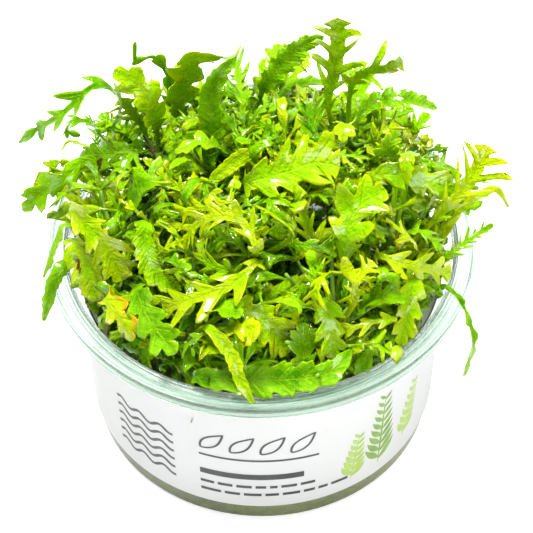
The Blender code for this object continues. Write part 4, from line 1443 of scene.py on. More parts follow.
@dataclass
class Droplets:
    """Tiny beads of moisture on the flange and on the wall inside the mouth.

    Args:
        cup: cup that they lie on.
        flange_beads: beads on the flange.
        wall_beads: beads on the wall inside.
        wall_span: least and greatest height of the beads on the wall.
        rings: rings of a bead.
        sides: corners of a ring.
    """
    cup: Cup
    flange_beads: int = 70
    wall_beads: int = 60
    wall_span: tuple = (51.2, 54.2)
    rings: int = 4
    sides: int = 10

    def bead(self, centre: Vector, normal: Vector, radius: float) -> tuple:
        """A low dome.

        Args:
            centre: where it lies.
            normal: way that it stands out.
            radius: its radius.

        Returns:
            Points and faces of the closed dome.
        """
        turn = normal.to_track_quat("Z", "Y")
        points = []
        for ring in range(self.rings):
            angle = 0.5 * math.pi * ring / self.rings
            out = math.cos(angle)
            up = 0.55 * math.sin(angle) - 0.08
            for across, along in circle(self.sides):
                points.append(centre + turn @ (Vector((out * across, out * along, up)) * radius))
        top = len(points)
        last = top - self.sides
        points.append(centre + turn @ Vector((0.0, 0.0, 0.47 * radius)))
        cap = [(last + side, last + (side + 1) % self.sides, top) for side in range(self.sides)]
        return points, tube_faces(self.rings, self.sides)[:-1] + cap

    def build(self, finish: bpy.types.Material) -> None:
        """Make the beads.

        Args:
            finish: their material.
        """
        cup = self.cup
        draws = random.Random("beads")
        beads = []
        for number in range(self.flange_beads + self.wall_beads):
            around = draws.uniform(0.0, math.tau)
            out = Vector((math.cos(around), math.sin(around), 0.0))
            size = 0.16 + 0.34 * draws.random() ** 3
            if number < self.flange_beads:
                centre = out * draws.uniform(cup.mouth_radius + 0.8, cup.rim_radius - cup.lip_width - 0.4)
                centre.z = cup.height
                beads.append(self.bead(centre, Vector((0.0, 0.0, 1.0)), size))
            else:
                centre = out * cup.mouth_radius
                centre.z = draws.uniform(*self.wall_span)
                beads.append(self.bead(centre, -out, 1.5 * size))
        item = mesh_object("moisture_beads", *joined(beads), finish)
        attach(item, "root")


def heading(angle: float) -> np.ndarray:
    """Direction across and up the label of an angle in degrees."""
    return np.array([math.cos(math.radians(angle)), math.sin(math.radians(angle))])


@dataclass
class Label:
    """Printed film sleeve round the cup, open in a strip at the back.

    Places on it are arc lengths across from the front's middle and heights over the table, in millimetres.
    Each stroke of its print is a thin closed solid, given as its points and faces.

    Args:
        cup: cup that it goes round.
        low: height of its lower edge.
        high: height of its upper edge.
        thickness: thickness of the film.
        gap_angle: angle of the open strip, in degrees.
        corner: radius of its corners.
        segments: steps round the cup.
        ink_rise: height of the ink over the film.
        ink_sink: depth of the ink in the film.
    """
    cup: Cup
    low: float = 7.2
    high: float = 46.6
    thickness: float = 0.3
    gap_angle: float = 26.0
    corner: float = 1.6
    segments: int = 168
    ink_rise: float = 0.03
    ink_sink: float = 0.05

    def place(self, across: float, height: float, out: float) -> tuple:
        """Point over the label.

        Args:
            across: where it is across the label.
            height: its height.
            out: distance out from the film's outer face.

        Returns:
            The point.
        """
        radius = self.cup.wall_radius(height) + CLEARANCE + self.thickness + out
        angle = -0.5 * math.pi + across / self.cup.wall_radius(0.5 * (self.low + self.high))
        return radius * math.cos(angle), radius * math.sin(angle), height

    def sleeve(self) -> tuple:
        """The film.

        Returns:
            Its points and faces.
        """
        radius = self.cup.wall_radius(0.5 * (self.low + self.high))
        half = 0.5 * math.radians(360.0 - self.gap_angle) * radius
        points = []
        for step in range(self.segments + 1):
            across = -half + 2.0 * half * step / self.segments
            inset = max(self.corner - (half - abs(across)), 0.0)
            trim = self.corner - math.sqrt(max(self.corner ** 2 - inset ** 2, 0.0))
            heights = (self.low + trim, 0.5 * (self.low + trim + self.high - trim), self.high - trim)
            points += [self.place(across, height, -self.thickness) for height in heights]
            points += [self.place(across, height, 0.0) for height in reversed(heights)]
        return points, tube_faces(self.segments + 1, 6)

    def strip(self, line: list, halves: list) -> tuple:
        """One printed stroke.

        Args:
            line: across and height of each point of its middle.
            halves: half width at each point.

        Returns:
            The stroke.
        """
        line = np.array(line, float)
        ahead = np.gradient(line, axis=0)
        ahead /= np.maximum(np.linalg.norm(ahead, axis=1), 1e-9)[:, None]
        normal = np.stack([-ahead[:, 1], ahead[:, 0]], axis=1)
        points = []
        for spot, way, half in zip(line, normal, halves):
            left = spot + way * half
            right = spot - way * half
            for side, out in ((right, -self.ink_sink), (left, -self.ink_sink), (left, self.ink_rise),
                              (right, self.ink_rise)):
                points.append(self.place(side[0], side[1], out))
        return points, tube_faces(len(line), 4)

    def rule(self, first: float, last: float, height: float, thick: float, wave: float = 0.0) -> tuple:
        """A straight or wavy rule.

        Args:
            first: where it starts.
            last: where it ends.
            height: its height.
            thick: its thickness.
            wave: height of its waves.

        Returns:
            The stroke.
        """
        across = np.linspace(first, last, max(int(abs(last - first) * 2.0), 4))
        heights = height + wave * np.sin(2.0 * np.pi * (across - first) / 6.0)
        return self.strip(list(zip(across, heights)), [0.5 * thick] * len(across))

    def dashes(self, first: float, last: float, height: float, seed: str) -> list:
        """A row of short rules.

        Args:
            first: where it starts.
            last: where it ends.
            height: its height.
            seed: seed of their lengths.

        Returns:
            The strokes.
        """
        draws = random.Random(seed)
        art = []
        while first < last:
            length = draws.uniform(1.6, 5.2)
            art.append(self.rule(first, first + length, height, 1.0))
            first += length + 0.9
        return art

    def lancet(self, foot: tuple, angle: float, length: float, width: float, bend: float = 0.0) -> tuple:
        """A filled lancet leaf.

        Args:
            foot: where it starts.
            angle: its direction from the horizontal, in degrees.
            length: its length.
            width: its greatest width.
            bend: how far it turns by its tip, in degrees.

        Returns:
            The stroke.
        """
        steps = 10
        spot = np.array(foot, float)
        line = []
        halves = []
        for step in range(steps + 1):
            share = step / steps
            line.append(spot.copy())
            halves.append(max(0.5 * width * math.sin(math.pi * share ** 0.8), 0.05))
            spot = spot + heading(angle + bend * share) * length / steps
        return self.strip(line, halves)

    def leaf_line(self, foot: tuple, angle: float, length: float, width: float, thick: float) -> tuple:
        """A lancet leaf drawn as a line.

        Args:
            foot: where it starts.
            angle: its direction from the horizontal, in degrees.
            length: its length.
            width: its greatest width.
            thick: thickness of the line.

        Returns:
            The stroke.
        """
        way = heading(angle)
        side = np.array([-way[1], way[0]])
        line = []
        for share in np.linspace(0.0, 2.0, 33):
            place, sign = (share, 1.0) if share <= 1.0 else (2.0 - share, -1.0)
            half = 0.5 * width * math.sin(math.pi * place ** 0.8) * sign
            line.append(np.array(foot) + way * length * place + side * half)
        return self.strip(line, [0.5 * thick] * len(line))

    def dark_art(self) -> list:
        """Dark strokes: a row of leaf outlines, rules and water lines.

        Returns:
            The strokes.
        """
        art = [self.leaf_line((-14.5 + 7.0 * number, 29.0), 50.0, 8.4, 3.4, 0.55) for number in range(4)]
        art += [self.rule(-15.0, 13.0, 26.2, 0.7), self.rule(-15.0, 9.5, 19.4, 2.1)]
        art += self.dashes(-15.0, 11.0, 15.2, "upper dashes") + self.dashes(-15.0, 17.0, 12.0, "lower dashes")
        return art + [self.rule(-38.5, -21.5, 14.0 + 3.3 * number, 0.85, wave=0.9) for number in range(6)]

    def sprig(self, foot: tuple, angle: float, tall: float, pairs: int, size: float) -> list:
        """Lancet leaves in pairs on one stalk.

        Args:
            foot: where the stalk starts.
            angle: its direction from the horizontal, in degrees.
            tall: length of the stalk.
            pairs: pairs of leaves.
            size: length of the longest leaf.

        Returns:
            The strokes.
        """
        art = [self.lancet(foot, angle, tall, 0.6)]
        way = heading(angle)
        for number in range(pairs):
            share = (number + 0.5) / pairs
            level = np.array(foot) + way * tall * share
            length = size * (1.0 - 0.65 * share)
            art.append(self.lancet(tuple(level), angle - 48.0, length, 1.9 - share, bend=22.0))
            art.append(self.lancet(tuple(level + way * 0.6), angle + 48.0, length, 1.9 - share, bend=-22.0))
        return art

    def build(self, film: bpy.types.Material, dark: bpy.types.Material, green: bpy.types.Material,
              lime: bpy.types.Material) -> None:
        """Make the sleeve and its print.

        Args:
            film: material of the sleeve.
            dark: dark ink.
            green: green ink.
            lime: light green ink.
        """
        sleeve = mesh_object("label_sleeve", *self.sleeve(), film)
        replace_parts(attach(sleeve, "root"), "label")
        tall = self.sprig((29.5, 11.0), 88.0, 26.0, 9, 7.5)
        low = self.sprig((21.5, 10.5), 84.0, 17.0, 7, 5.5) + self.sprig((38.0, 13.5), 80.0, 19.0, 7, 5.5)
        prints = {"label_dark_print": (self.dark_art(), dark), "label_green_print": (tall, green),
                  "label_lime_print": (low, lime)}
        for name, (strokes, ink) in prints.items():
            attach(mesh_object(name, *joined(strokes), ink), "root")


@dataclass
class CultureGel:
    """Disc of culture gel that closes round the stems.

    Args:
        cup: cup that holds it.
        top: height of its top's edge.
        cling: how far it presses in the plastic, so that no air shows between them.
        rings: rings of its top.
        segments: steps round it.
    """
    cup: Cup
    top: float = 12.0
    cling: float = 0.05
    rings: int = 16
    segments: int = 128

    def build(self, finish: bpy.types.Material) -> None:
        """Make the gel.

        Args:
            finish: its material.
        """
        cup = self.cup
        seat = cup.gel_seat(cup.corner_wall - self.cling)
        edge = cup.wall_radius(self.top) - cup.wall + self.cling
        level = self.top - 0.1
        profile = seat[::-1] + [(edge, self.top - 0.35), (edge - 0.3, level)]
        profile += [(edge * (1.0 - ring / self.rings), level) for ring in range(1, self.rings)]
        profile.append((0.0, level))
        gel = mesh_object("olive_culture_gel", *turned(profile, self.segments), finish)
        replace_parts(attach(gel, "root"), "culture_gel")


def solid_form(node: str) -> tuple:
    """Corners, in millimetres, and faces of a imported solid.

    Args:
        node: its name.

    Returns:
        One row a corner, and the corner numbers of each face.
    """
    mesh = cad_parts[node].data
    table = np.zeros(len(mesh.vertices) * 3, np.float32)
    mesh.vertices.foreach_get("co", table)
    return table.reshape(-1, 3).astype(float) / MM, [tuple(face.vertices) for face in mesh.polygons]


def solid_corners(node: str) -> np.ndarray:
    """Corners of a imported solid, each of them once, in millimetres."""
    return np.unique(np.round(solid_form(node)[0], 4), axis=0)


def leaf_foot(stem: Stem, height: float, towards: Vector, turn: float) -> Vector:
    """Where a leaf leaves its stem: just off the bark, on the side that faces the blade.

    Args:
        stem: the stem.
        height: height on it.
        towards: the blade's foot.
        turn: extra turn round the stem, in degrees.

    Returns:
        The point.
    """
    height = min(height, stem.top.z - 1.0)
    axis = stem.point(height)
    way = Vector((towards[0] - axis[0], towards[1] - axis[1], 0.0))
    if way.length < 1.0:
        way = Vector((stem.top[0], stem.top[1], 0.0))
    way.normalize()
    way.rotate(Matrix.Rotation(math.radians(turn), 3, "Z"))
    return axis + way * (stem.radius(height) + STEM_GAP)


@dataclass
class LargeLeaf:
    """A larger leaf that stands for its solid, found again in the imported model.

    Args:
        plan: what it is and where it grows.
    """
    plan: LeafPlan

    def settled(self) -> tuple:
        """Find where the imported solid's foot and tip are.

        Returns:
            The shifted points of the blade and the foot.
        """
        corners = solid_corners(self.plan.name)

        def centre_near(spot: Vector, count: int) -> float:
            """Distance from a spot to the middle of the nearest corners."""
            gaps = np.linalg.norm(corners - np.array(spot), axis=1)
            return float(np.linalg.norm(corners[np.argsort(gaps)[:count]].mean(axis=0) - np.array(spot)))

        best = None
        for lift in LIFTS:
            shifted = [Vector(point) + LIFT_LINE * lift for point in self.plan.points]
            tip_gap = centre_near(shifted[-1], 4)
            for turn in TURNS:
                for drop in DROPS:
                    foot = leaf_foot(self.plan.stem, self.plan.height + drop, shifted[0], turn)
                    gap = tip_gap + centre_near(foot, 4)
                    if best is None or gap < best[0]:
                        best = (gap, shifted, foot)
        LOG.info("%s lies %.3f mm from its solid", self.plan.name, best[0])
        return best[1], best[2]

    def build(self, finish: bpy.types.Material) -> None:
        """Make the leaf.

        Args:
            finish: its material.
        """
        plan = self.plan
        shifted, foot = self.settled()
        path, length = smooth_path([foot] + shifted, SPINE_SAMPLES)
        start = min(PETIOLE_SHARE * (shifted[0] - foot).length / length, LONGEST_PETIOLE)
        spine = Spine(path, plan.facing.value, length)
        shape = LeafShape(spine, start, plan.width, plan.form.value, plan.lobing, plan.tone,
                          random.Random(plan.name), marks=plan.marks)
        leaf = patched_mesh(plan.name.replace("leaf_", "blade_", 1), [shape.patch()], [finish])
        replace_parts(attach(leaf, "root"), plan.name)


def mound_height(x: float, y: float) -> float:
    """Height of the leaf mound's skin over a place on the table."""
    fall = (x * x + y * y) / MOUND_RADIUS ** 2
    return MOUND_RIM_HEIGHT + MOUND_RISE * (1.0 - fall) + MOUND_BACK_RISE * max(y, 0.0)


def skin_height(x: float, y: float) -> float:
    """Greatest height of the finer leaves over a place: the mound's skin, lower towards the back."""
    return mound_height(x, y) + 4.0 - 0.55 * max(y - 13.0, 0.0)


@dataclass
class SmallLeafDraw:
    """A small leaf as it is drawn, before it is known to be clear of the rest.

    Args:
        points: points that its line passes, from its foot to its tip.
        width: width of the blade.
        outline: its outline.
        facing: way that its upper face looks.
        petiole: half width of its petiole.
    """
    points: tuple
    width: float
    outline: Outline
    facing: tuple = Facing.UP.value
    petiole: float = PETIOLE_HALF_WIDTH

    def spine(self) -> Spine:
        """Line that the leaf follows."""
        path, length = smooth_path(list(self.points), SPINE_SAMPLES)
        return Spine(path, self.facing, length)

    def coarse(self, share: float) -> tuple:
        """A coarse closed form of the leaf, for the tests that keep leaves apart.

        Args:
            share: width of the form over that of the leaf.

        Returns:
            Points and faces.
        """
        spine = self.spine()
        along = np.linspace(0.12, 1.0, 8)
        centres, _, sides, faces = spine.at(along)
        half = np.maximum(0.5 * share * self.width * np.sin(np.pi * np.clip(along, 0.12, 0.9)), 0.3)
        lift = 0.37 * half
        ring = np.stack([centres - sides * half[:, None] + faces * lift[:, None],
                         centres + faces * 0.3,
                         centres + sides * half[:, None] + faces * lift[:, None],
                         centres - faces * 0.3], axis=1)
        return ring.reshape(-1, 3), tube_faces(len(along), 4)


class Thicket:
    """All that already stands in the cup, for the tests that keep leaves apart."""

    def __init__(self) -> None:
        """Start empty."""
        self.trees = []
        self.lows = np.zeros((0, 3))
        self.highs = np.zeros((0, 3))

    def add(self, points: np.ndarray, faces: list) -> None:
        """Take in a solid.

        Args:
            points: its corners.
            faces: corner numbers of its faces.
        """
        points = np.asarray(points, float)
        self.trees.append(BVHTree.FromPolygons(points.tolist(), faces))
        self.lows = np.vstack([self.lows, points.min(axis=0)])
        self.highs = np.vstack([self.highs, points.max(axis=0)])

    def meets(self, points: np.ndarray, faces: list) -> bool:
        """Whether a form meets anything.

        Args:
            points: its corners.
            faces: corner numbers of its faces.

        Returns:
            True if it does.
        """
        low = points.min(axis=0)
        high = points.max(axis=0)
        near = np.nonzero(np.all((self.lows <= high) & (self.highs >= low), axis=1))[0]
        if len(near) == 0:
            return False
        tree = BVHTree.FromPolygons(points.tolist(), faces)
        return any(tree.overlap(self.trees[index]) for index in near)


@dataclass(frozen=True)
class Clearing:
    """Round pocket in the mound that no finer leaf lies over.

    Args:
        centre: its centre.
        radius: its radius.
    """
    centre: tuple
    radius: float

    def hidden_by(self, point: Vector, sight: Vector) -> bool:
        """Whether a point lies over the pocket.

        Args:
            point: the point.
            sight: direction that the mound is looked at.

        Returns:
            True if it does.
        """
        way = Vector(self.centre) - point
        ahead = way.dot(sight)
        return ahead > -self.radius and (way - sight * ahead).length < self.radius


CLEARINGS = (Clearing((-26.0, 19.0, 65.0), 4.0), Clearing((6.6, -16.0, 62.0), 3.2),
             Clearing((12.0, -0.5, 62.0), 4.2))


@dataclass(frozen=True)
class Tuft:
    """Place in the mound that a twig carries a tuft of finer leaves to.

    Args:
        x: place across the table.
        y: place along the table.
        z: height of the twig's end.
        leaves: leaves in the tuft.
        reach: least and greatest length of a leaf.
        rise: least and greatest steepness of a leaf.
        tone: least and greatest tone.
        deep: whether it stands so low that it hides no larger leaf.
    """
    x: float
    y: float
    z: float
    leaves: int
    reach: tuple
    rise: tuple
    tone: tuple
    deep: bool = False

    def glow(self) -> float:
        """Extra tone near the mound's right side, where the leaves are the brightest."""
        return 0.2 * math.exp(-((self.x - 32.0) ** 2 + (self.y + 12.0) ** 2) / 300.0)


def golden_disc(count: int, radius: float) -> list:
    """Places spread evenly over a disc.

    Args:
        count: how many.
        radius: radius of the disc.

    Returns:
        The places.
    """
    angle = math.pi * (3.0 - math.sqrt(5.0))
    return [(radius * math.sqrt((index + 0.5) / count) * math.cos(index * angle),
             radius * math.sqrt((index + 0.5) / count) * math.sin(index * angle)) for index in range(count)]


HOLLOW_TUFTS = ((10.0, 2.0, 50.0), (15.0, 4.0, 48.0), (8.0, -9.0, 49.0), (13.0, -5.0, 44.0),
                (7.0, -15.0, 47.0), (-25.0, 20.0, 50.0))


def plan_tufts() -> list:
    """Tufts under the mound's skin, in its middle, and along the cup's wall.

    Returns:
        The tufts.
    """
    draws = random.Random("tufts")
    # Lower and inner tufts take darker tones: partly the deeper green of older leaves, partly painted shade
    # in the depth of the mound.
    tufts = [Tuft(x, y, z, 9, (8.0, 13.0), (-0.6, 0.5), (0.0, 0.3), True) for x, y, z in HOLLOW_TUFTS]
    for x, y in golden_disc(80, 46.0):
        top = skin_height(x, y) - 4.0
        if math.hypot(x, y) > 38.0:
            top = max(top - 1.0, 61.0)
        tufts.append(Tuft(x, y, top - draws.uniform(3.0, 7.0), 10, (9.0, 18.0), (-0.3, 1.0), (0.3, 1.0)))
    for x, y in golden_disc(42, 38.0):
        tufts.append(Tuft(x, y, skin_height(x, y) - draws.uniform(14.0, 19.0), 8, (9.0, 15.0), (-0.2, 1.0),
                          (0.1, 0.55)))
    for x, y in golden_disc(20, 30.0):
        tufts.append(Tuft(x, y, draws.uniform(34.0, 46.0), 7, (10.0, 16.0), (-0.5, 0.6), (0.0, 0.3)))
    for level, radius, steps, tone in ((57.0, 40.0, 20, 0.8), (53.0, 38.5, 20, 0.75), (48.0, 36.0, 18, 0.5),
                                       (37.0, 34.0, 14, 0.4), (25.0, 33.0, 14, 0.4)):
        for step in range(steps):
            angle = math.tau * (step + draws.uniform(0.0, 0.6)) / steps
            out = radius + draws.uniform(-2.0, 1.0)
            tufts.append(Tuft(out * math.cos(angle), out * math.sin(angle), level + draws.uniform(-3.0, 3.0),
                              7, (7.0, 12.0), (-0.6, 0.8), (0.05, tone), level < 56.0))
    return tufts


FINE_FORMS = (Form.OAK, Form.COMB, Form.COMB, Form.FINGERS, Form.FINGERS, Form.TENDRIL, Form.STRAP)


@dataclass
class Plantlet:
    """A stem with its small leaves, those of the solid and hundreds of finer ones.

    Args:
        stem: which stem.
        crown: share of brown at the stem's top.
    """
    stem: Stem
    crown: float = 0.15
    patches: list = field(default_factory=list)
    twig_rows = 12
    twig_sides = 6
    twig_radii = (0.7, 0.38)

    def stem_form(self, swell: float = 0.0, sides: int = 12, rows: int = 26) -> tuple:
        """Points and faces of the stem.

        Args:
            swell: how far it stands out.
            sides: corners of a ring.
            rows: rings.

        Returns:
            Points and faces.
        """
        top = self.stem.top.z
        points = []
        for row in range(rows):
            share = row / (rows - 1)
            height = STEM_FOOT + (top - STEM_FOOT) * share
            centre = self.stem.point(height)
            knot = 1.0 + 0.16 * math.exp(-((share * 5.0) % 1.0 - 0.5) ** 2 / 0.01)
            radius = (self.stem.radius(height) + swell) * (knot if swell == 0.0 else 1.0)
            points += [(centre.x + radius * across, centre.y + radius * along, height)
                       for across, along in circle(sides)]
        return np.array(points), tube_faces(rows, sides)

    def add_stem(self) -> None:
        """Add the stem's own mesh."""
        points, faces = self.stem_form()
        share = (points[:, 2] - STEM_FOOT) / (self.stem.top.z - STEM_FOOT)
        self.add_bark(points, faces, share, self.crown * np.clip((share - 0.75) / 0.25, 0.0, 1.0))

    def add_bark(self, points: np.ndarray, faces: list, along: np.ndarray, brown: object) -> None:
        """Add a patch of the stem's material.

        Args:
            points: its corners.
            faces: corner numbers of its faces.
            along: how far along the stem or twig each corner is.
            brown: how brown all of it is, or each corner.
        """
        count = len(points)
        uv = np.stack([np.full(count, 0.5), along], axis=1)
        looks = (np.full(count, 0.4), np.full(count, brown), np.ones(count))
        self.patches.append(Patch(points, faces, uv, *looks, finish=1))

    def add_crown(self) -> None:
        """Add the withered stubs round the stem's top."""
        draws = random.Random(self.stem.node)
        for _ in range(30):
            foot = self.stem.point(self.stem.top.z - draws.uniform(0.5, 7.0))
            around = draws.uniform(0.0, math.tau)
            reach = draws.uniform(2.0, 5.5)
            way = Vector((math.cos(around), math.sin(around), draws.uniform(-0.2, 0.9)))
            bend = Vector((0.0, 0.0, draws.uniform(-0.2, 0.3) * reach))
            path, _ = smooth_path([foot, foot + way * 0.5 * reach + bend, foot + way * reach], 12)
            self.add_twig(path, draws.uniform(0.6, 1.0))

    def add_twig(self, path: np.ndarray, brown: float = 0.0) -> None:
        """Add a thin round twig.

        Args:
            path: points along it.
            brown: how brown it is.
        """
        along = np.linspace(0.0, 1.0, self.twig_rows)
        centres, _, sides, faces = Spine(path, Facing.UP.value, 1.0).at(along)
        radii = np.linspace(*self.twig_radii, self.twig_rows)[:, None]
        ring = [centres + (sides * across + faces * up) * radii for across, up in circle(self.twig_sides)]
        faces = [face[::-1] for face in tube_faces(self.twig_rows, self.twig_sides)]
        self.add_bark(np.stack(ring, axis=1).reshape(-1, 3), faces, np.repeat(along, self.twig_sides), brown)

    def add_leaf(self, draw: SmallLeafDraw, tone: float, draws: random.Random, fine: bool) -> None:
        """Add one small leaf.

        Args:
            draw: the leaf.
            tone: its colour.
            draws: source of its small differences.
            fine: whether it has the rings of a large leaf.
        """
        start = SMALL_PETIOLE if fine else 0.1
        shape = LeafShape(draw.spine(), start, draw.width, draw.outline, Lobing.BOTH, tone, draws, fine,
                          petiole=draw.petiole, fine_rows=7)
        self.patches.append(shape.patch())

    def build(self, leaf_finish: bpy.types.Material, stem_finish: bpy.types.Material) -> None:
        """Join the plantlet.

        Args:
            leaf_finish: material of the leaves.
            stem_finish: material of the stem.
        """
        self.add_stem()
        if self.crown > 0.5:
            self.add_crown()
        name = self.stem.node.replace("plantlet_", "foliage_", 1)
        piece = patched_mesh(name, self.patches, [leaf_finish, stem_finish])
        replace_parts(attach(piece, "root"), self.stem.node)


class Foliage:
    """Grows the small leaves of every plantlet."""

    tip_reach = 0.2
    tip_miss = 0.03
    lowest_twig = 13.5
    leaf_tries = 11
    own_share = 0.5
    sight = Vector((0.0, 0.64, -0.77))
    sight_reach = 14.0

    # Room that the finer leaves have
    lowest = 14.0
    farthest = 54.0
    neck_foot = 51.0
    over_rim = 57.5
    mouth_room = 44.0
    clear_height = 64.0
    clear_front = 6.0

    def __init__(self, cup: Cup) -> None:
        """Set up the stems, and all that the leaves keep clear of.

        Args:
            cup: cup that the leaves stay inside.
        """
        self.cup = cup
        self.plantlets = {stem: Plantlet(stem) for stem in Stem}
        self.plantlets[Stem.BACK_LEFT].crown = 1.0
        self.thicket = Thicket()
        for stem in Stem:
            self.thicket.add(*self.plantlets[stem].stem_form(0.1, 6, 8))
        large = [solid_form(plan.name) for plan in LEAF_PLANS]
        for points, faces in [solid_form("cup")] + large:
            self.thicket.add(points, faces)
        corners, faces = joined(large)
        self.large = BVHTree.FromPolygons(np.array(corners).tolist(), faces)

    def draw_solid_leaf(self, stem: Stem, draws: random.Random, turn: int) -> SmallLeafDraw | None:
        """Draw a small leaf by the rule that the solids follow.

        Args:
            stem: its stem.
            draws: the seeded source.
            turn: which round of leaves.

        Returns:
            The leaf, or None if it would be too steep.
        """
        heading = math.tau * draws.random()
        reach = 11.0 + 19.0 * draws.random()
        depth = (6.0 + turn) * draws.random()
        sag = 2.0 + 4.0 * draws.random()
        foot_share = 0.25 + 0.6 * draws.random()
        width = SMALL_LEAF_WIDTH * (0.75 + 0.4 * draws.random()) * (1.0 - 0.06 * turn)
        outline = draws.choice(SMALL_FORMS).value
        way = Vector((math.cos(heading), math.sin(heading), 0.0))
        tip = Vector((stem.top.x, stem.top.y, 0.0)) + way * reach
        farthest = MOUND_REACH if tip.y > 0.0 else MOUND_FRONT_REACH
        if tip.length > farthest:
            tip *= farthest / tip.length
        tip.z = mound_height(tip.x, tip.y) - depth
        foot = stem.point(min(stem.top.z - 2.0, tip.z - foot_share * reach))
        middle = foot.lerp(tip, 0.55)
        middle.z += sag
        outward = Vector((tip.x - foot.x, tip.y - foot.y, 0.0))
        if tip.z - foot.z > STEEPEST * outward.length:
            return None
        return SmallLeafDraw((foot + outward.normalized() * 0.2, middle, tip), width, outline)

    def find_solid_leaves(self) -> None:
        """Draw the solids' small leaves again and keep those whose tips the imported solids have."""
        draws = random.Random(SEED)
        trees = {}
        for stem in Stem:
            points = solid_corners(stem.node)
            tree = KDTree(len(points))
            for index, point in enumerate(points):
                tree.insert(point, index)
            tree.balance()
            trees[stem] = tree
        found = 0
        tones = random.Random("tones")
        for turn in range(SMALL_LEAVES_PER_PLANTLET):
            for stem in Stem:
                for _ in range(SMALL_LEAF_TRIES):
                    draw = self.draw_solid_leaf(stem, draws, turn)
                    if draw is None:
                        continue
                    near = trees[stem].find_n(draw.points[2], 2)
                    middle = (near[0][0] + near[1][0]) * 0.5
                    if near[1][2] > self.tip_reach or (middle - draw.points[2]).length > self.tip_miss:
                        continue
                    tone = tones.uniform(0.35, 0.9)
                    self.plantlets[stem].add_leaf(draw, tone, random.Random(f"{stem.node}{found}"), True)
                    self.thicket.add(*draw.coarse(0.9))
                    found += 1
        LOG.info("%d small leaves of the solids found again", found)

    def nearest_stem(self, tuft: Tuft) -> tuple:
        """Stem that a tuft grows from, and the height that its twig starts at.

        Args:
            tuft: the tuft.

        Returns:
            The stem and the height.
        """
        best = None
        for stem in Stem:
            height = min(tuft.z - 4.0, stem.top.z - 2.0)
            axis = stem.point(height)
            across = math.hypot(tuft.x - axis.x, tuft.y - axis.y)
            height = max(min(tuft.z - 0.6 * across - 2.0, stem.top.z - 2.0), self.lowest_twig)
            if best is None or across < best[0]:
                best = (across, stem, height)
        return best[1], best[2]

    def grow_tufts(self) -> None:
        """Grow the twigs and their tufts of finer leaves."""
        draws = random.Random("fine leaves")
        grown = 0
        for tuft in plan_tufts():
            stem, height = self.nearest_stem(tuft)
            foot = stem.point(height)
            end = Vector((tuft.x, tuft.y, tuft.z))
            middle = foot.lerp(end, 0.5) + Vector((0.0, 0.0, -0.12 * (end - foot).length))
            path, _ = smooth_path([foot, middle, end], 16)
            here = 0
            for _ in range(tuft.leaves):
                leaf = self.clear_leaf(path, tuft, draws)
                if leaf is None:
                    continue
                self.plantlets[stem].add_leaf(leaf, draws.uniform(*tuft.tone) + tuft.glow(), draws, False)
                here += 1
            if here:
                self.plantlets[stem].add_twig(path)
            grown += here
        LOG.info("%d finer leaves grown", grown)

    def clear_leaf(self, path: np.ndarray, tuft: Tuft, draws: random.Random) -> SmallLeafDraw | None:
        """Find a clear place for one finer leaf of a tuft.

        Args:
            path: line of the twig.
            tuft: the tuft.
            draws: the seeded source.

        Returns:
            The leaf, or None if every place that was tried is taken.
        """
        for _ in range(self.leaf_tries):
            foot = Vector(path[-1 - int(draws.random() ** 2 * 6.0)])
            reach = draws.uniform(*tuft.reach)
            heading = draws.uniform(0.0, math.tau)
            slope = draws.uniform(*tuft.rise)
            way = Vector((math.cos(heading), math.sin(heading), slope)).normalized()
            aside = Vector((-way.y, way.x, 0.0)) * draws.uniform(-0.45, 0.45) * reach
            end_drop = Vector((0.0, 0.0, draws.uniform(-0.6, 0.2) * reach))
            ahead = draws.uniform(0.5, 1.0)
            points = (foot, foot + way * reach * 0.4 + aside * 0.4 + Vector((0.0, 0.0, 0.08 * reach)),
                      foot + way * reach * 0.75 + aside + end_drop * 0.3,
                      foot + way * reach * ahead + aside * 0.4 + end_drop)
            facing = (draws.uniform(-0.5, 0.5), draws.uniform(-0.6, 0.3), 0.8)
            form = draws.choice(FINE_FORMS)
            broad = 0.22 if form in (Form.STRAP, Form.TENDRIL) else draws.uniform(0.4, 0.8)
            leaf = SmallLeafDraw(points, broad * reach, form.value.small(), facing, 0.36)
            if not self.inside(leaf):
                continue
            points, faces = leaf.coarse(self.own_share)
            if not tuft.deep and self.hides_large(points):
                continue
            if self.thicket.meets(points, faces):
                continue
            self.thicket.add(points, faces)
            return leaf
        return None

    def hides_large(self, points: np.ndarray) -> bool:
        """Whether a leaf would lie over a larger one or a clearing, as the front and top show them.

        Args:
            points: corners of its coarse form.

        Returns:
            True if it would.
        """
        for point in points[4::3]:
            spot = Vector(point)
            if any(clearing.hidden_by(spot, self.sight) for clearing in CLEARINGS):
                return True
            if self.large.ray_cast(spot, self.sight, self.sight_reach)[0] is not None:
                return True
        return False

    def inside(self, leaf: SmallLeafDraw) -> bool:
        """Whether a leaf stays over the gel, inside the cup below its rim, and in the mound over it.

        Args:
            leaf: the leaf.

        Returns:
            True if it does.
        """
        for point in leaf.points:
            out = math.hypot(point.x, point.y)
            if point.z < self.lowest or out > self.farthest:
                return False
            room = self.cup.wall_radius(min(point.z, self.cup.shoulder_height)) - self.cup.wall - 0.7
            if point.z > self.neck_foot:
                room = self.mouth_room
            if point.z < self.over_rim and out > room - 0.12 * leaf.width:
                return False
            if point.z < self.clear_height and point.y < self.clear_front and out > self.mouth_room:
                return False
            if point.z > skin_height(point.x, point.y):
                return False
        return True

    def build(self, leaf_finish: bpy.types.Material, stem_finish: bpy.types.Material) -> None:
        """Make every plantlet.

        Args:
            leaf_finish: material of the leaves.
            stem_finish: material of the stems.
        """
        self.find_solid_leaves()
        self.grow_tufts()
        for plantlet in self.plantlets.values():
            plantlet.build(leaf_finish, stem_finish)


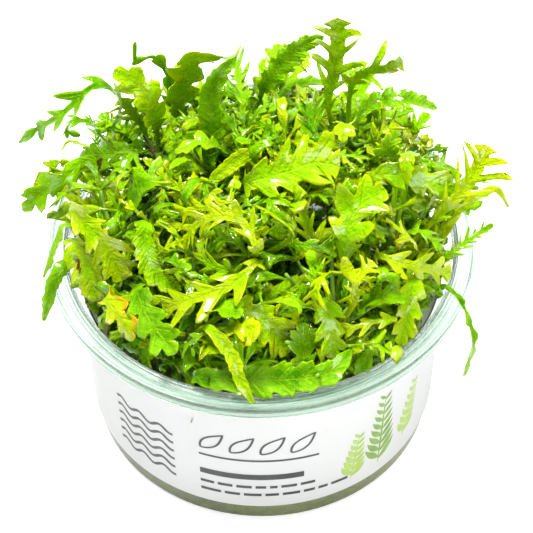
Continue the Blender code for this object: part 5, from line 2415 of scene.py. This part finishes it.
@dataclass
class Studio:
    """Floor, soft lights and the camera at the photograph's viewing angle.

    Lengths are in metres, angles in degrees.
    """
    elevation: float = 50.03
    roll: float = -0.62
    distance: float = 0.7
    target: tuple = (0.00124, 0.0, 0.0458)
    sensor: float = 36.0
    focal_pixels: float = 2981.7
    frame_pixels: float = 533.0

    def camera(self) -> None:
        """Set the camera."""
        angle = math.radians(self.elevation)
        back = Vector((0.0, -math.cos(angle), math.sin(angle)))
        data = bpy.data.cameras.new("camera")
        data.sensor_width = self.sensor
        data.lens = self.focal_pixels / self.frame_pixels * self.sensor
        data.clip_start = 0.01
        item = bpy.data.objects.new("camera", data)
        upright = Matrix.Rotation(math.radians(90.0 - self.elevation), 4, "X")
        rolled = upright @ Matrix.Rotation(math.radians(self.roll), 4, "Z")
        item.matrix_world = Matrix.Translation(Vector(self.target) + back * self.distance) @ rolled
        bpy.context.scene.collection.objects.link(item)
        bpy.context.scene.camera = item

    def light(self, name: str, place: tuple, size: float, power: float) -> None:
        """Add a soft square light that looks at the object.

        Args:
            name: its name.
            place: where it stands.
            size: length of its side.
            power: its power, in watts.
        """
        data = bpy.data.lights.new(name, "AREA")
        data.size = size
        data.energy = power
        item = bpy.data.objects.new(name, data)
        item.location = place
        way = Vector(self.target) - Vector(place)
        item.rotation_euler = way.to_track_quat("-Z", "Y").to_euler()
        bpy.context.scene.collection.objects.link(item)

    def build(self, finish: bpy.types.Material) -> None:
        """Set the floor, the lights, the world and the camera.

        Args:
            finish: material of the floor.
        """
        mesh = bpy.data.meshes.new("floor")
        reach = 3.0
        corners = [(-reach, -reach, 0.0), (reach, -reach, 0.0), (reach, reach, 0.0), (-reach, reach, 0.0)]
        mesh.from_pydata(corners, [], [(0, 1, 2, 3)])
        mesh.materials.append(finish)
        floor = bpy.data.objects.new("floor", mesh)
        floor.location.z = -0.0002
        bpy.context.scene.collection.objects.link(floor)
        world = bpy.data.worlds.new("studio")
        world.use_nodes = True
        backdrop = world.node_tree.nodes["Background"]
        backdrop.inputs["Color"].default_value = (1.0, 1.0, 1.0, 1.0)
        sheet = Sheet(world.node_tree)
        mirrored = sheet.node("ShaderNodeLightPath").outputs["Is Glossy Ray"]
        sheet.feed(backdrop.inputs["Strength"], sheet.minus(0.40, sheet.times(mirrored, 0.28)))
        bpy.context.scene.world = world
        self.light("key", (-0.24, 0.16, 0.95), 0.24, 13.6)
        self.light("second", (0.35, 0.30, 0.90), 0.20, 6.5)
        self.light("fill", (0.5, -0.8, 0.6), 0.6, 5.0)
        bpy.context.scene.view_settings.view_transform = "Standard"
        self.camera()


def main() -> None:
    """Build every sub-assembly in order."""
    logging.basicConfig(level=logging.INFO, format="%(name)s %(message)s")
    effects = Effects()
    leaf = LeafFinish(effects).material
    stem = StemFinish(effects).material
    dark = InkFinish(effects, "dark_ink", (0.022, 0.026, 0.026, 1.0), (0.060, 0.066, 0.064, 1.0)).material
    green = InkFinish(effects, "green_ink", (0.10, 0.24, 0.02, 1.0), (0.27, 0.45, 0.05, 1.0)).material
    lime = InkFinish(effects, "lime_ink", (0.28, 0.45, 0.05, 1.0), (0.45, 0.60, 0.12, 1.0)).material
    cup = Cup()
    Studio().build(FloorFinish(effects).material)
    plastic = ClearPlasticFinish(effects).material
    cup.build(plastic)
    Droplets(cup).build(plastic)
    Label(cup).build(LabelFinish(effects).material, dark, green, lime)
    CultureGel(cup).build(GelFinish(effects).material)
    for plan in LEAF_PLANS:
        LargeLeaf(plan).build(leaf)
    Foliage(cup).build(leaf, stem)


if __name__ == "__main__":
    main()
